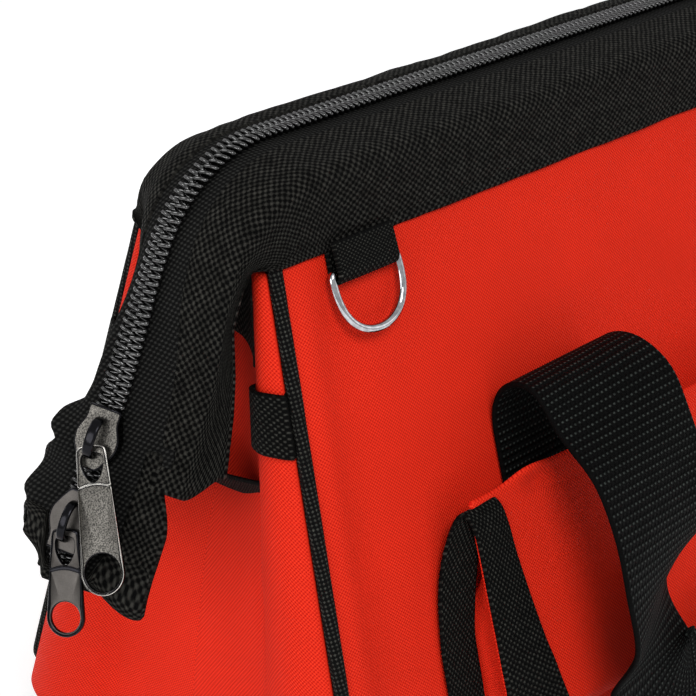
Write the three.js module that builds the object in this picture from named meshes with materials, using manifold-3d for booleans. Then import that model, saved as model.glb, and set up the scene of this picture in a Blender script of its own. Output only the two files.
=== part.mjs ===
// A wide-mouth zippered tool bag: cloth sides that hinge at the base, a zip that runs over both ends,
// two sliders parked on the left tail, four D-rings, two webbing handles and two bellows pockets.
// Millimetres. +Z is up, +X runs along the bag, and the front faces -Y.
import * as THREE from "three";
import { mergeVertices } from "three/addons/utils/BufferGeometryUtils.js";
import Module from "manifold-3d";

const wasm = await Module();
wasm.setup();

// Body
const mouthHalfLength = 200;
const mouthHalfWidth = 29;
const bandFootHeight = 210;
const panelFootHeight = 18;
const sideLean = 0.293;
const endLean = 0.071;
const clothThickness = 2;
const thinCloth = 1.6;
const gap = 0.4;
const pipingRadius = 2.4;

// Zip and mouth band
const zipHeight = 236.2;
const cornerStart = 178;
const cornerRadius = 44;
const cornerTurn = THREE.MathUtils.degToRad(64);
const straightEar = 101;
const tailRadius = 30;
const tailTurn = THREE.MathUtils.degToRad(36);
const earLength = 118;
const tailStart = 92;
const tailSpare = 13.9;
const capLength = 9.5;
const tapeHalfWidth = 14.6;
const tapeFlat = 8;
const fabricStart = 15;
const ridgeAt = 28;
const stripWidth = 51;
const tapeThickness = 1;
const coilHalfWidth = 4.8;
const coilHeight = 3.4;
const zipTwist = THREE.MathUtils.degToRad(25);

// Sliders and pullers
const upperSliderAt = 108.6;
const sliderSpacing = 26.5;
const sliderLength = 20;
const sliderHalfWidth = 7;
const plateThickness = 1.4;
const wedgeWidth = 2.4;
const bridgeLength = 13;
const bridgeWidth = 2.6;
const bridgeHeight = 6;
const bridgeSkin = 1.4;
const pinDrop = 2.9;
const pullerThickness = 2;
const pullerWall = 1.4;
const upperPuller = { length: 44, topHalfWidth: 4.7, endHalfWidth: 6.8, swing: THREE.MathUtils.degToRad(24.5) };
const lowerPuller = { length: 32, topHalfWidth: 4.3, endHalfWidth: 6, swing: THREE.MathUtils.degToRad(15) };
const tailLength = upperSliderAt + sliderSpacing + sliderLength / 2 + tailSpare;

// D-rings, straps and pocket
const ringWire = 1.4;
const ringHalfWidth = 14.2;
const ringDepth = 20.2;
const ringBelowBand = 8.9;
const ringOut = 3.4;
const ringFromMiddle = 168;
const tabWidth = 25;
const handleFromMiddle = 100;
const handleWidth = 50;
const webbing = 1.8;
const handleHingeUp = 131;
const handleHingeOut = 2.4;
const handleRootFoot = 60;
const crestLength = 25;
const gripUp = 14;
const gripOut = 27;
const legBulge = 19;
const pocketHalfLength = 151;
const pocketFoot = 22;
const pocketTop = 108;
const pocketDepth = 15;
const bindingWidth = 22;
const endStrapWidth = 18;
const endStrapHeight = 163;

// Base
const bootHalfLength = 217;
const bootHalfWidth = 89;
const bootTop = 17.4;
const bootWall = 3;
const boardThickness = 3;
const boardClearance = 8;
const endRecess = 12;

const bag = new THREE.Group();
bag.name = "tool_bag";

const black = { color: 0x17181a, roughness: 0.9, metalness: 0 };
const red = { color: 0xd8281c, roughness: 0.8, metalness: 0 };
const chrome = { color: 0xd8dadd, roughness: 0.15, metalness: 1 };
const blackNickel = { color: 0x2b2c2e, roughness: 0.35, metalness: 0.9 };
const board = { color: 0x3a3a3c, roughness: 0.9, metalness: 0 };

const vec = (x, y, z) => new THREE.Vector3(x, y, z);
const mix = (a, b, t) => a + (b - a) * t;
const smooth = (v, a, b) => THREE.MathUtils.smoothstep(v, a, b);

function volumeOf(geometry) {
  const p = geometry.attributes.position;
  const index = geometry.index.array;
  const a = vec(0, 0, 0);
  const b = vec(0, 0, 0);
  const c = vec(0, 0, 0);
  let total = 0;
  for (let i = 0; i < index.length; i += 3) {
    a.fromBufferAttribute(p, index[i]);
    b.fromBufferAttribute(p, index[i + 1]);
    c.fromBufferAttribute(p, index[i + 2]);
    total += a.dot(b.cross(c)) / 6;
  }
  return total;
}

// Merges the vertices of a closed body and turns its faces outwards
function closed(geometry) {
  const bare = new THREE.BufferGeometry();
  bare.setAttribute("position", geometry.attributes.position.clone());
  if (geometry.index) bare.setIndex(Array.from(geometry.index.array));
  const merged = mergeVertices(bare, 1e-3);
  if (volumeOf(merged) < 0) {
    const index = merged.index.array;
    for (let i = 0; i < index.length; i += 3) {
      const kept = index[i];
      index[i] = index[i + 1];
      index[i + 1] = kept;
    }
  }
  return merged;
}

function add(name, geometry, look) {
  const whole = closed(geometry);
  whole.computeVertexNormals();
  const mesh = new THREE.Mesh(whole, new THREE.MeshStandardMaterial(look));
  mesh.name = name;
  bag.add(mesh);
}

// A geometry mirrored to the other end (x) or to the back (y)
function mirrored(geometry, x, y) {
  return geometry.clone().applyMatrix4(new THREE.Matrix4().makeScale(x, y, 1));
}

function fromLists(points, faces) {
  const geometry = new THREE.BufferGeometry();
  geometry.setAttribute("position", new THREE.Float32BufferAttribute(points.flatMap((p) => p.toArray()), 3));
  geometry.setIndex(faces);
  return geometry;
}

// A sheet between two grids of points with the same rows and columns
function sheet(outer, inner) {
  const rows = outer.length;
  const columns = outer[0].length;
  const points = [...outer.flat(), ...inner.flat()];
  const shift = rows * columns;
  const at = (i, j) => i * columns + j;
  const faces = [];
  for (let i = 0; i < rows - 1; i++) {
    for (let j = 0; j < columns - 1; j++) {
      faces.push(at(i, j), at(i + 1, j), at(i + 1, j + 1));
      faces.push(at(i, j), at(i + 1, j + 1), at(i, j + 1));
      faces.push(shift + at(i, j), shift + at(i + 1, j + 1), shift + at(i + 1, j));
      faces.push(shift + at(i, j), shift + at(i, j + 1), shift + at(i + 1, j + 1));
    }
  }
  const rim = [];
  for (let j = 0; j < columns; j++) rim.push(at(0, j));
  for (let i = 1; i < rows; i++) rim.push(at(i, columns - 1));
  for (let j = columns - 2; j >= 0; j--) rim.push(at(rows - 1, j));
  for (let i = rows - 2; i > 0; i--) rim.push(at(i, 0));
  for (let k = 0; k < rim.length; k++) {
    const a = rim[k];
    const b = rim[(k + 1) % rim.length];
    faces.push(a, b, shift + b);
    faces.push(a, shift + b, shift + a);
  }
  return fromLists(points, faces);
}

// A body through a row of rings, capped at both ends or joined end to end
function loft(rings, joined = false) {
  const size = rings[0].length;
  const points = rings.flat();
  const faces = [];
  const steps = joined ? rings.length : rings.length - 1;
  for (let i = 0; i < steps; i++) {
    const next = (i + 1) % rings.length;
    for (let j = 0; j < size; j++) {
      const k = (j + 1) % size;
      faces.push(i * size + j, i * size + k, next * size + k);
      faces.push(i * size + j, next * size + k, next * size + j);
    }
  }
  if (!joined) {
    const last = (rings.length - 1) * size;
    for (let j = 1; j < size - 1; j++) {
      faces.push(0, j + 1, j);
      faces.push(last, last + j, last + j + 1);
    }
  }
  return fromLists(points, faces);
}

// A ring of points around a centre, in the plane of two unit directions
function ringAround(centre, across, up, radius, sides) {
  const ring = [];
  for (let k = 0; k < sides; k++) {
    const angle = (2 * Math.PI * k) / sides;
    const point = centre.clone().addScaledVector(across, radius * Math.cos(angle));
    ring.push(point.addScaledVector(up, radius * Math.sin(angle)));
  }
  return ring;
}

function solid(geometry) {
  const g = closed(geometry);
  return new wasm.Manifold(
    new wasm.Mesh({
      numProp: 3,
      vertProperties: new Float32Array(g.attributes.position.array),
      triVerts: new Uint32Array(g.index.array),
    }),
  );
}

function geometryOf(manifold) {
  const made = manifold.getMesh();
  const geometry = new THREE.BufferGeometry();
  geometry.setAttribute("position", new THREE.BufferAttribute(new Float32Array(made.vertProperties), 3));
  geometry.setIndex(new THREE.BufferAttribute(new Uint32Array(made.triVerts), 1));
  return geometry;
}

function block(x0, x1, y0, y1, z0, z1) {
  const box = new THREE.BoxGeometry(x1 - x0, y1 - y0, z1 - z0);
  return box.translate((x0 + x1) / 2, (y0 + y1) / 2, (z0 + z1) / 2);
}

const drop = (z) => bandFootHeight - z;
const seamY = (z) => -(mouthHalfWidth + sideLean * drop(z));
const seamX = (z) => -(mouthHalfLength + endLean * drop(z));

// The front panel's own frame: x along the bag, up the cloth, out from the cloth
const leanAngle = Math.atan(sideLean);
const panelUp = vec(0, Math.sin(leanAngle), Math.cos(leanAngle));
const panelOut = vec(0, -Math.cos(leanAngle), Math.sin(leanAngle));
const panelFoot = vec(0, seamY(panelFootHeight), panelFootHeight);
const panelHeight = drop(panelFootHeight) / Math.cos(leanAngle);
const ringBarUp = panelHeight - ringBelowBand;
const panelFrame = new THREE.Matrix4().makeBasis(vec(1, 0, 0), panelUp, panelOut).setPosition(panelFoot);
const onPanel = (x, up, out) => vec(x, up, out).applyMatrix4(panelFrame);
const panelBlock = (x0, x1, up0, up1, out0, out1) => block(x0, x1, up0, up1, out0, out1).applyMatrix4(panelFrame);
const heightOn = (up) => panelFootHeight + up * Math.cos(leanAngle);

// The zip's middle line at the left end: over the top, round the corner, down the ear and the tail
function zipLine(s) {
  let angle = THREE.MathUtils.clamp(s / cornerRadius, 0, cornerTurn);
  const place = vec(-cornerStart - Math.min(s, 0) * 1, 0, zipHeight);
  place.x -= cornerRadius * Math.sin(angle);
  place.z -= cornerRadius * (1 - Math.cos(angle));
  const along = s - cornerRadius * cornerTurn;
  if (along > 0) {
    const down = vec(-Math.cos(angle), 0, -Math.sin(angle));
    place.addScaledVector(down, Math.min(along, straightEar));
  }
  const past = along - straightEar;
  if (past > 0) {
    const bend = Math.min(past / tailRadius, tailTurn);
    place.x += tailRadius * (Math.sin(angle) - Math.sin(angle + bend));
    place.z += tailRadius * (Math.cos(angle + bend) - Math.cos(angle));
    angle += bend;
    const rest = past - bend * tailRadius;
    place.addScaledVector(vec(-Math.cos(angle), 0, -Math.sin(angle)), rest);
  }
  const ahead = vec(-Math.cos(angle), 0, -Math.sin(angle));
  const out = vec(-Math.sin(angle), 0, Math.cos(angle));
  return { place, ahead, out };
}

// How the zip's cloth slopes away from the middle line: on top, and where the ear hangs
const topSlopes = [2, 4, 10, 88];
const frontEarSlopes = [25, 29, 38, 46];
const backEarSlopes = [-25, -19, 40, 75];
const breaks = [0, tapeFlat, fabricStart, ridgeAt, stripWidth];

function slopesAt(s, side) {
  const hung = side < 0 ? frontEarSlopes : backEarSlopes;
  const twisted = smooth(s, 55, tailStart);
  const relaxed = smooth(s, 15, 105);
  return topSlopes.map((top, k) => THREE.MathUtils.degToRad(mix(top, hung[k], k < 2 ? twisted : relaxed)));
}

// A place on the strip of cloth beside the zip, at a distance from the middle line and lifted off it
function stripPlace(s, side, distance, lift) {
  const line = zipLine(s);
  const slopes = slopesAt(s, side);
  const place = line.place.clone();
  const normal = vec(0, 0, 0);
  for (let k = 0; k < 4; k++) {
    const length = THREE.MathUtils.clamp(distance - breaks[k], 0, breaks[k + 1] - breaks[k]);
    const across = vec(0, side * Math.cos(slopes[k]), 0).addScaledVector(line.out, -Math.sin(slopes[k]));
    const facing = vec(0, side * Math.sin(slopes[k]), 0).addScaledVector(line.out, Math.cos(slopes[k]));
    place.addScaledVector(across, length);
    const touches = distance >= breaks[k] - 1e-6 && distance <= breaks[k + 1] + 1e-6;
    if (touches) normal.add(facing);
  }
  normal.normalize();
  return place.addScaledVector(normal, lift);
}

// The free edge of the band: along the seam to the corner, then up under the ear's ridge
function freeEdge(s, side, lift) {
  const x = Math.max(-cornerStart - 0.63 * s, -mouthHalfLength);
  const seam = vec(x, side * (mouthHalfWidth + lift), bandFootHeight + 1);
  const hem = stripPlace(s, side, ridgeAt + Math.max(2, (s - 55) * 0.24), lift);
  return seam.lerp(hem, smooth(s, 30, 62));
}

// Rows of points across the strip between two distances
function stripRows(stations, side, distances, lift) {
  return stations.map((s) => distances.map((d) => stripPlace(s, side, d, typeof lift === "function" ? lift(d) : lift)));
}

const spread = (from, to, count) => Array.from({ length: count }, (_, k) => mix(from, to, k / (count - 1)));

// Base: the boot under the bag and the stiff board in it
const bootShell = solid(block(-bootHalfLength, bootHalfLength, -bootHalfWidth, bootHalfWidth, 0, bootTop));
const roomHalfLength = bootHalfLength - bootWall;
const roomHalfWidth = bootHalfWidth - bootWall;
const bootRoom = solid(block(-roomHalfLength, roomHalfLength, -roomHalfWidth, roomHalfWidth, bootWall, 2 * bootTop));
add("base_boot", geometryOf(bootShell.subtract(bootRoom)), black);
const boardX = roomHalfLength - boardClearance;
const boardY = roomHalfWidth - boardClearance;
const boardZ = bootWall + gap;
add("base_board", block(-boardX, boardX, -boardY, boardY, boardZ, boardZ + boardThickness), board);

// Zip tape, coil and mouth band along the top, and the side panels with their piping
const topEnd = gap / 2;
const topSpan = [-cornerStart + topEnd, cornerStart - topEnd];

function overTop(distances, lift) {
  const start = distances.map((d) => stripPlace(0, -1, d, typeof lift === "function" ? lift(d) : lift));
  return topSpan.map((x) => start.map((p) => vec(x, p.y, p.z)));
}

const halfTape = tapeThickness / 2;
const tapeColumns = [gap / 2, tapeFlat, tapeHalfWidth];
const topTape = sheet(overTop(tapeColumns, halfTape), overTop(tapeColumns, -halfTape));
const coilColumns = [gap / 2, coilHalfWidth / 2, coilHalfWidth];
const coilTop = (d) => coilHeight - 0.9 * ((d - gap / 2) / coilHalfWidth) ** 2;
const topCoil = sheet(overTop(coilColumns, coilTop), overTop(coilColumns, halfTape + 0.3));

const bandColumns = [fabricStart, (fabricStart + ridgeAt) / 2, ridgeAt];
const halfCloth = thinCloth / 2;
function bandRow(s, side, lift) {
  return [...bandColumns.map((d) => stripPlace(s, side, d, lift)), freeEdge(s, side, lift)];
}
const bandEnd = (lift) => bandRow(0, -1, lift);
const bandRows = (lift) => topSpan.map((x) => bandEnd(lift).map((p) => vec(x, p.y, p.z)));
const topBand = sheet(bandRows(halfCloth), bandRows(-halfCloth));

const clearOfPiping = pipingRadius + 0.3;
function panelRow(up, out) {
  const edge = -seamX(heightOn(up)) - clearOfPiping;
  return [-1, -0.5, 0, 0.5, 1].map((t) => onPanel(t * edge, up, out));
}
const panelUps = spread(6, panelHeight - 0.2, 4);
const halfPanel = clothThickness / 2;
const frontPanel = sheet(
  panelUps.map((up) => panelRow(up, halfPanel)),
  panelUps.map((up) => panelRow(up, -halfPanel)),
);

const pipingFoot = 3.2;
const pipingTop = panelHeight - 1.6;
function pipingCorner(x, up, across) {
  return ringAround(onPanel(x, up, 0), across, panelOut, pipingRadius, 10);
}
const inward = vec(1, 0, 0);
const topX = -seamX(heightOn(pipingTop));
const footX = -seamX(heightOn(pipingFoot));
const piping = loft([
  pipingCorner(-topX, pipingTop, inward),
  pipingCorner(-footX, pipingFoot, panelUp.clone().add(inward)),
  pipingCorner(footX, pipingFoot, panelUp.clone().sub(inward)),
  pipingCorner(topX, pipingTop, inward.clone().negate()),
]);

// A bellows pocket: face, gussets and foot, open at the top
const pocketOuter = solid(block(-pocketHalfLength, pocketHalfLength, pocketFoot, pocketTop, 1.4, pocketDepth));
const pocketInside = solid(
  block(-pocketHalfLength + 1.6, pocketHalfLength - 1.6, pocketFoot + 1.6, pocketTop + 9, 0, pocketDepth - 1.6),
);
const pocket = geometryOf(pocketOuter.subtract(pocketInside)).applyMatrix4(panelFrame);

// The binding of a pocket's end: down the face's edge, over the top corner, down the panel behind
const bindOut = pocketDepth + 0.3;
const bindTop = pocketTop + 0.3;
const bindEdge = -pocketHalfLength - 0.3;
const bindFace = solid(block(bindEdge - 1.5, bindEdge + bindingWidth, pocketFoot, bindTop + 1.5, bindOut, bindOut + 1.5));
const bindOver = solid(block(bindEdge - 1.5, bindEdge + 7, bindTop, bindTop + 1.5, 1.4, bindOut + 1.5));
const bindBack = solid(block(bindEdge - 16, bindEdge, pocketFoot, bindTop, 1.4, 2.9));
const bindFold = solid(block(bindEdge - 1.5, bindEdge, bindTop - 12, bindTop + 1.5, 1.4, bindOut + 1.5));
const binding = geometryOf(bindFace.add(bindOver).add(bindBack).add(bindFold)).applyMatrix4(panelFrame);

// The tab that holds a D-ring, folded round the ring's straight bar
const tabOut = ringWire + 0.35;
const tabSkin = 1.1;
const tabFold = new THREE.CylinderGeometry(tabOut + tabSkin, tabOut + tabSkin, tabWidth, 20).rotateZ(Math.PI / 2);
const tabStem = block(-tabWidth / 2, tabWidth / 2, 0, ringBelowBand - 1.9, -2, tabOut + tabSkin);
const tabHole = new THREE.CylinderGeometry(tabOut, tabOut, tabWidth + 4, 20).rotateZ(Math.PI / 2);
const tabLeaf = solid(tabFold).add(solid(tabStem)).subtract(solid(tabHole));
const tabTrim = solid(block(-30, 30, -20, 30, -9, -ringOut + 1.35));
const tab = geometryOf(tabLeaf.subtract(tabTrim));
tab.translate(-ringFromMiddle, ringBarUp, ringOut).applyMatrix4(panelFrame);

// A D-ring: a straight bar in the tab and a half-round bow below it
function ringPath(t) {
  const bar = 2 * ringHalfWidth;
  const bow = Math.PI;
  if (t < 0.25) return [mix(-ringHalfWidth, ringHalfWidth, t / 0.25), 0];
  const turn = ((t - 0.25) / 0.75) * bow;
  return [(bar / 2) * Math.cos(turn) * (1 + 0.12 * Math.sin(turn)), -ringDepth * Math.sin(turn) ** 0.8];
}
const ringSteps = 32;
const ringRings = [];
for (let k = 0; k < ringSteps; k++) {
  const [x, up] = ringPath(k / ringSteps);
  const [x1, up1] = ringPath(((k + 0.5) / ringSteps) % 1);
  const [x0, up0] = ringPath((k - 0.5 + ringSteps) / ringSteps % 1);
  const ahead = vec(x1 - x0, up1 - up0, 0).normalize();
  const across = vec(-ahead.y, ahead.x, 0);
  ringRings.push(ringAround(vec(x, up, 0), across, vec(0, 0, 1), ringWire, 8));
}
const ring = loft(ringRings, true).translate(-ringFromMiddle, ringBarUp, ringOut).applyMatrix4(panelFrame);

// Handle: the root sewn to the panel, the crest strap that folds over, and the long loop
const halfWebbing = webbing / 2;
const hingeRoom = halfWebbing + 0.45;
const handleRoot = panelBlock(
  -handleFromMiddle - handleWidth / 2,
  -handleFromMiddle + handleWidth / 2,
  handleRootFoot,
  handleHingeUp - hingeRoom,
  handleHingeOut - halfWebbing,
  handleHingeOut + halfWebbing,
);

// A strap's section around a middle point: its width along x, its thickness along a facing direction
function strapRing(middle, across, facing, width, thickness) {
  const ring = [];
  for (const [a, b] of [[-1, -1], [1, -1], [1, 1], [-1, 1]]) {
    const corner = middle.clone().addScaledVector(across, (a * width) / 2);
    ring.push(corner.addScaledVector(facing, (b * thickness) / 2));
  }
  return ring;
}

// A strap end rounded about a hinge line along x
function roundedEnd(up, out) {
  const end = new THREE.CylinderGeometry(halfWebbing, halfWebbing, handleWidth, 12).rotateZ(Math.PI / 2);
  return end.translate(-handleFromMiddle, up, out);
}

const crestEnd = handleHingeOut + crestLength;
const crestStrap = block(
  -handleFromMiddle - handleWidth / 2,
  -handleFromMiddle + handleWidth / 2,
  handleHingeUp - halfWebbing,
  handleHingeUp + halfWebbing,
  handleHingeOut,
  crestEnd - hingeRoom,
);
const crest = geometryOf(solid(crestStrap).add(solid(roundedEnd(handleHingeUp, handleHingeOut)))).applyMatrix4(panelFrame);

const legPath = [];
const legCount = 12;
const legTurn = 34;
const legBottom = gripUp + legTurn;
for (let k = 0; k < 6; k++) {
  const t = k / 6;
  const up = mix(handleHingeUp, legBottom, t);
  const out = mix(crestEnd, gripOut, t) + legBulge * Math.sin(t * Math.PI) ** 0.8;
  legPath.push(vec(-handleFromMiddle, up, out));
}
for (let k = 0; k <= 6; k++) {
  const turn = (k / 6) * (Math.PI / 2);
  legPath.push(vec(-handleFromMiddle + legTurn * (1 - Math.cos(turn)), legBottom - legTurn * Math.sin(turn), gripOut));
}
const wholeGrip = [...legPath, ...legPath.map((p) => vec(-p.x, p.y, p.z)).reverse()];
const gripRings = wholeGrip.map((p, k) => {
  const before = wholeGrip[Math.max(k - 1, 0)];
  const after = wholeGrip[Math.min(k + 1, wholeGrip.length - 1)];
  const ahead = after.clone().sub(before).normalize();
  const share = Math.min(k, wholeGrip.length - 1 - k) / legCount;
  const width = handleWidth - 24 * smooth(share, 0.1, 0.5) + 10 * smooth(share, 0.6, 0.9);
  const flat = vec(ahead.y, -ahead.x, 0).normalize();
  const across = k === 0 || k === wholeGrip.length - 1 ? vec(Math.sign(flat.x), 0, 0) : flat;
  const facing = across.clone().cross(ahead).normalize();
  return strapRing(p, across, facing, width, webbing);
});
const gripEnds = [-1, 1].map((side) => {
  const end = roundedEnd(handleHingeUp, crestEnd).translate(side < 0 ? 0 : 2 * handleFromMiddle, 0, 0);
  return solid(end);
});
const grip = geometryOf(solid(loft(gripRings)).add(gripEnds[0]).add(gripEnds[1])).applyMatrix4(panelFrame);

// Ears: the strips of band cloth past the corner, and their half of the zip down to the tail
const earStations = [topEnd, 8, 17, 26, 35, 44, 54, 66, 80, 95, earLength];
function earSheet(side) {
  const rows = (lift) => earStations.map((s) => bandRow(s, side, lift));
  return sheet(rows(halfCloth), rows(-halfCloth));
}
const zipColumns = [gap / 2, coilHalfWidth / 2, coilHalfWidth, coilHalfWidth + 0.4, tapeFlat, tapeHalfWidth];
const zipTop = (d) => (d <= coilHalfWidth ? coilTop(d) : halfTape);
const earZipStations = [topEnd, 10, 20, 30, 40, 50, 62, 74, 84, tailStart - 0.2];
function earZip(side) {
  return sheet(
    stripRows(earZipStations, side, zipColumns, zipTop),
    stripRows(earZipStations, side, zipColumns, -halfTape),
  );
}

// The tail: both halves of the zip together, slit where the sliders part them
const straightEnd = straightEar + cornerRadius * cornerTurn;
const tailBend = spread(straightEnd, tailLength, 4);
const tailStations = [tailStart + 0.2, 100, 116, 132, ...tailBend];
function tailRow(s, top) {
  const back = zipColumns.map((d) => stripPlace(s, 1, d, top ? zipTop(d) : -halfTape)).reverse();
  const front = zipColumns.map((d) => stripPlace(s, -1, d, top ? zipTop(d) : -halfTape));
  return [...back, ...front];
}
const tailSheet = sheet(
  tailStations.map((s) => tailRow(s, true)),
  tailStations.map((s) => tailRow(s, false)),
);

// The frame of a slider: across the zip, up the tail, out of the tape
function sliderFrame(s) {
  const line = zipLine(s);
  const across = vec(0, -Math.cos(zipTwist), 0).addScaledVector(line.out, -Math.sin(zipTwist));
  const up = line.ahead.clone().negate();
  const out = across.clone().cross(up);
  return new THREE.Matrix4().makeBasis(across, up, out).setPosition(line.place);
}
const slitFrame = sliderFrame(100);
const slit = block(-wedgeWidth / 2 - gap, wedgeWidth / 2 + gap, -51, 5, -6, 8).applyMatrix4(slitFrame);
const tail = geometryOf(solid(tailSheet).subtract(solid(slit)));

// The cap: a doubled tape sewn over the tail's end
const capStations = [tailLength - capLength, ...tailBend, tailLength + 2.6];
const capHalfWidth = tapeHalfWidth + 0.1;
const capRoomHalfWidth = tapeHalfWidth + 0.35;
const capOuterLift = (d) => (d < 6 ? coilHeight + 0.4 + 1.5 : halfTape + 0.4 + 1.5);
function capRow(s, lift, edge) {
  const back = [edge, 8, 5.6, 0].map((d) => stripPlace(s, 1, d, lift(d)));
  const front = [5.6, 8, edge].map((d) => stripPlace(s, -1, d, lift(d)));
  return [...back, ...front];
}
const capBody = solid(
  sheet(
    capStations.map((s) => capRow(s, capOuterLift, capHalfWidth)),
    capStations.map((s) => capRow(s, () => -halfTape - 1.9, capHalfWidth)),
  ),
);
const capRoomStations = [tailLength - capLength - 2, ...tailBend, tailLength + 0.6];
const capInnerLift = (d) => (d < 6 ? coilHeight + 0.4 : halfTape + 0.4);
const capRoom = solid(
  sheet(
    capRoomStations.map((s) => capRow(s, capInnerLift, capRoomHalfWidth)),
    capRoomStations.map((s) => capRow(s, () => -halfTape - 0.4, capRoomHalfWidth)),
  ),
);
const cap = geometryOf(capBody.subtract(capRoom));

// End panel: a corner strip that bulges beside each seam, and a recessed middle
const stripSteps = [0, 0.25, 0.5, 0.75, 1];
function endRow(z, lift) {
  const width = 4 + 0.184 * drop(z);
  const x = seamX(z) - 2;
  const y = seamY(z) + 2.4;
  const recess = endRecess * smooth(z, panelFootHeight + endRecess, bandFootHeight - 20);
  const half = stripSteps.map((t) => [x - 0.2 * width * Math.sin(Math.PI * t), y + width * t]);
  const crease = y + width;
  for (const t of [0.12, 0.4, 0.7, 1]) {
    half.push([x + 2 + recess * Math.sin((t * Math.PI) / 2), mix(crease, 0, t)]);
  }
  const whole = [...half, ...half.slice(0, -1).reverse().map(([a, b]) => [a, -b])];
  return whole.map(([a, b], k) => {
    const before = whole[Math.max(k - 1, 0)];
    const after = whole[Math.min(k + 1, whole.length - 1)];
    const normal = vec(-(after[1] - before[1]), after[0] - before[0], 0).normalize();
    return vec(a + normal.x * lift, b + normal.y * lift, z);
  });
}
const endHeights = spread(panelFootHeight + 0.2, bandFootHeight - 5, 8);
const endPanel = sheet(
  endHeights.map((z) => endRow(z, halfCloth)),
  endHeights.map((z) => endRow(z, -halfCloth)),
);

// End strap: round each corner strip and slack across the end
function strapRow(edge, lift) {
  const z = endStrapHeight + (edge * endStrapWidth) / 2;
  const half = endRow(z, halfCloth + 1.2 + lift).slice(0, stripSteps.length);
  const leaves = half[half.length - 1];
  for (const t of [0.2, 0.45, 0.7, 1]) {
    const sag = 12 * Math.sin((t * Math.PI) / 2);
    half.push(vec(leaves.x - 1.5 * (1 - t), mix(leaves.y, 0, t), z - sag));
  }
  return [...half, ...half.slice(0, -1).reverse().map((p) => vec(p.x, -p.y, p.z))];
}
const endStrap = sheet(
  [-1, 1].map((edge) => strapRow(edge, 0.7)),
  [-1, 1].map((edge) => strapRow(edge, -0.7)),
);

// Both sides, both ends
for (const [sideName, y] of [["front", 1], ["back", -1]]) {
  add(`${sideName}_panel`, mirrored(frontPanel, 1, y), red);
  add(`${sideName}_piping`, mirrored(piping, 1, y), black);
  add(`${sideName}_mouth_band`, mirrored(topBand, 1, y), black);
  add(`${sideName}_zip_tape`, mirrored(topTape, 1, y), black);
  add(`${sideName}_zip_coil`, mirrored(topCoil, 1, y), black);
  add(`${sideName}_pocket`, mirrored(pocket, 1, y), red);
  add(`${sideName}_handle`, mirrored(grip, 1, y), black);
  for (const [endName, x] of [["left", 1], ["right", -1]]) {
    const side = sideName === "front" ? -1 : 1;
    add(`${sideName}_pocket_binding_${endName}`, mirrored(binding, x, y), black);
    add(`${sideName}_ring_tab_${endName}`, mirrored(tab, x, y), black);
    add(`${sideName}_ring_${endName}`, mirrored(ring, x, y), chrome);
    add(`${sideName}_handle_root_${endName}`, mirrored(handleRoot, x, y), black);
    add(`${sideName}_handle_crest_${endName}`, mirrored(crest, x, y), black);
    add(`${sideName}_ear_${endName}`, mirrored(earSheet(side), x, 1), black);
    add(`${sideName}_ear_zip_${endName}`, mirrored(earZip(side), x, 1), black);
  }
}
for (const [endName, x] of [["left", 1], ["right", -1]]) {
  add(`tail_zip_${endName}`, mirrored(tail, x, 1), black);
  add(`tail_cap_${endName}`, mirrored(cap, x, 1), black);
  add(`end_panel_${endName}`, mirrored(endPanel, x, 1), red);
  add(`end_strap_${endName}`, mirrored(endStrap, x, 1), black);
}

// A slider: plates over and under the zip, the wedge between them at one end, and the bridge on top
const overCoil = coilHeight + gap;
const sliderTop = overCoil + plateThickness;
const pinRadius = 1;
function sliderBody(headUp) {
  const half = sliderLength / 2;
  const upperPlate = solid(block(-sliderHalfWidth, sliderHalfWidth, -half, half, overCoil, sliderTop));
  const lowerLevel = -halfTape - gap;
  const lowerPlate = solid(block(-sliderHalfWidth, sliderHalfWidth, -half, half, lowerLevel - plateThickness, lowerLevel));
  const lips = [-1, 1].map((side) => {
    const outerX = side * sliderHalfWidth;
    const innerX = side * (sliderHalfWidth - 1.2);
    return solid(block(Math.min(outerX, innerX), Math.max(outerX, innerX), -half, half, halfTape + gap, sliderTop));
  });
  const head = headUp ? [half - 6, half - 1] : [-half + 1, -half + 6];
  const wedge = solid(block(-wedgeWidth / 2, wedgeWidth / 2, head[0], head[1], lowerLevel - 0.7, sliderTop - 0.7));
  const bridgeTop = sliderTop + bridgeHeight;
  const bridge = solid(
    block(-bridgeWidth / 2, bridgeWidth / 2, -bridgeLength / 2, bridgeLength / 2, sliderTop - 0.7, bridgeTop),
  );
  const opening = solid(
    block(-9, 9, -bridgeLength / 2 + bridgeSkin, bridgeLength / 2 - bridgeSkin, sliderTop, bridgeTop - bridgeSkin),
  );
  return geometryOf(upperPlate.add(lowerPlate).add(lips[0]).add(lips[1]).add(wedge).add(bridge.subtract(opening)));
}

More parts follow.
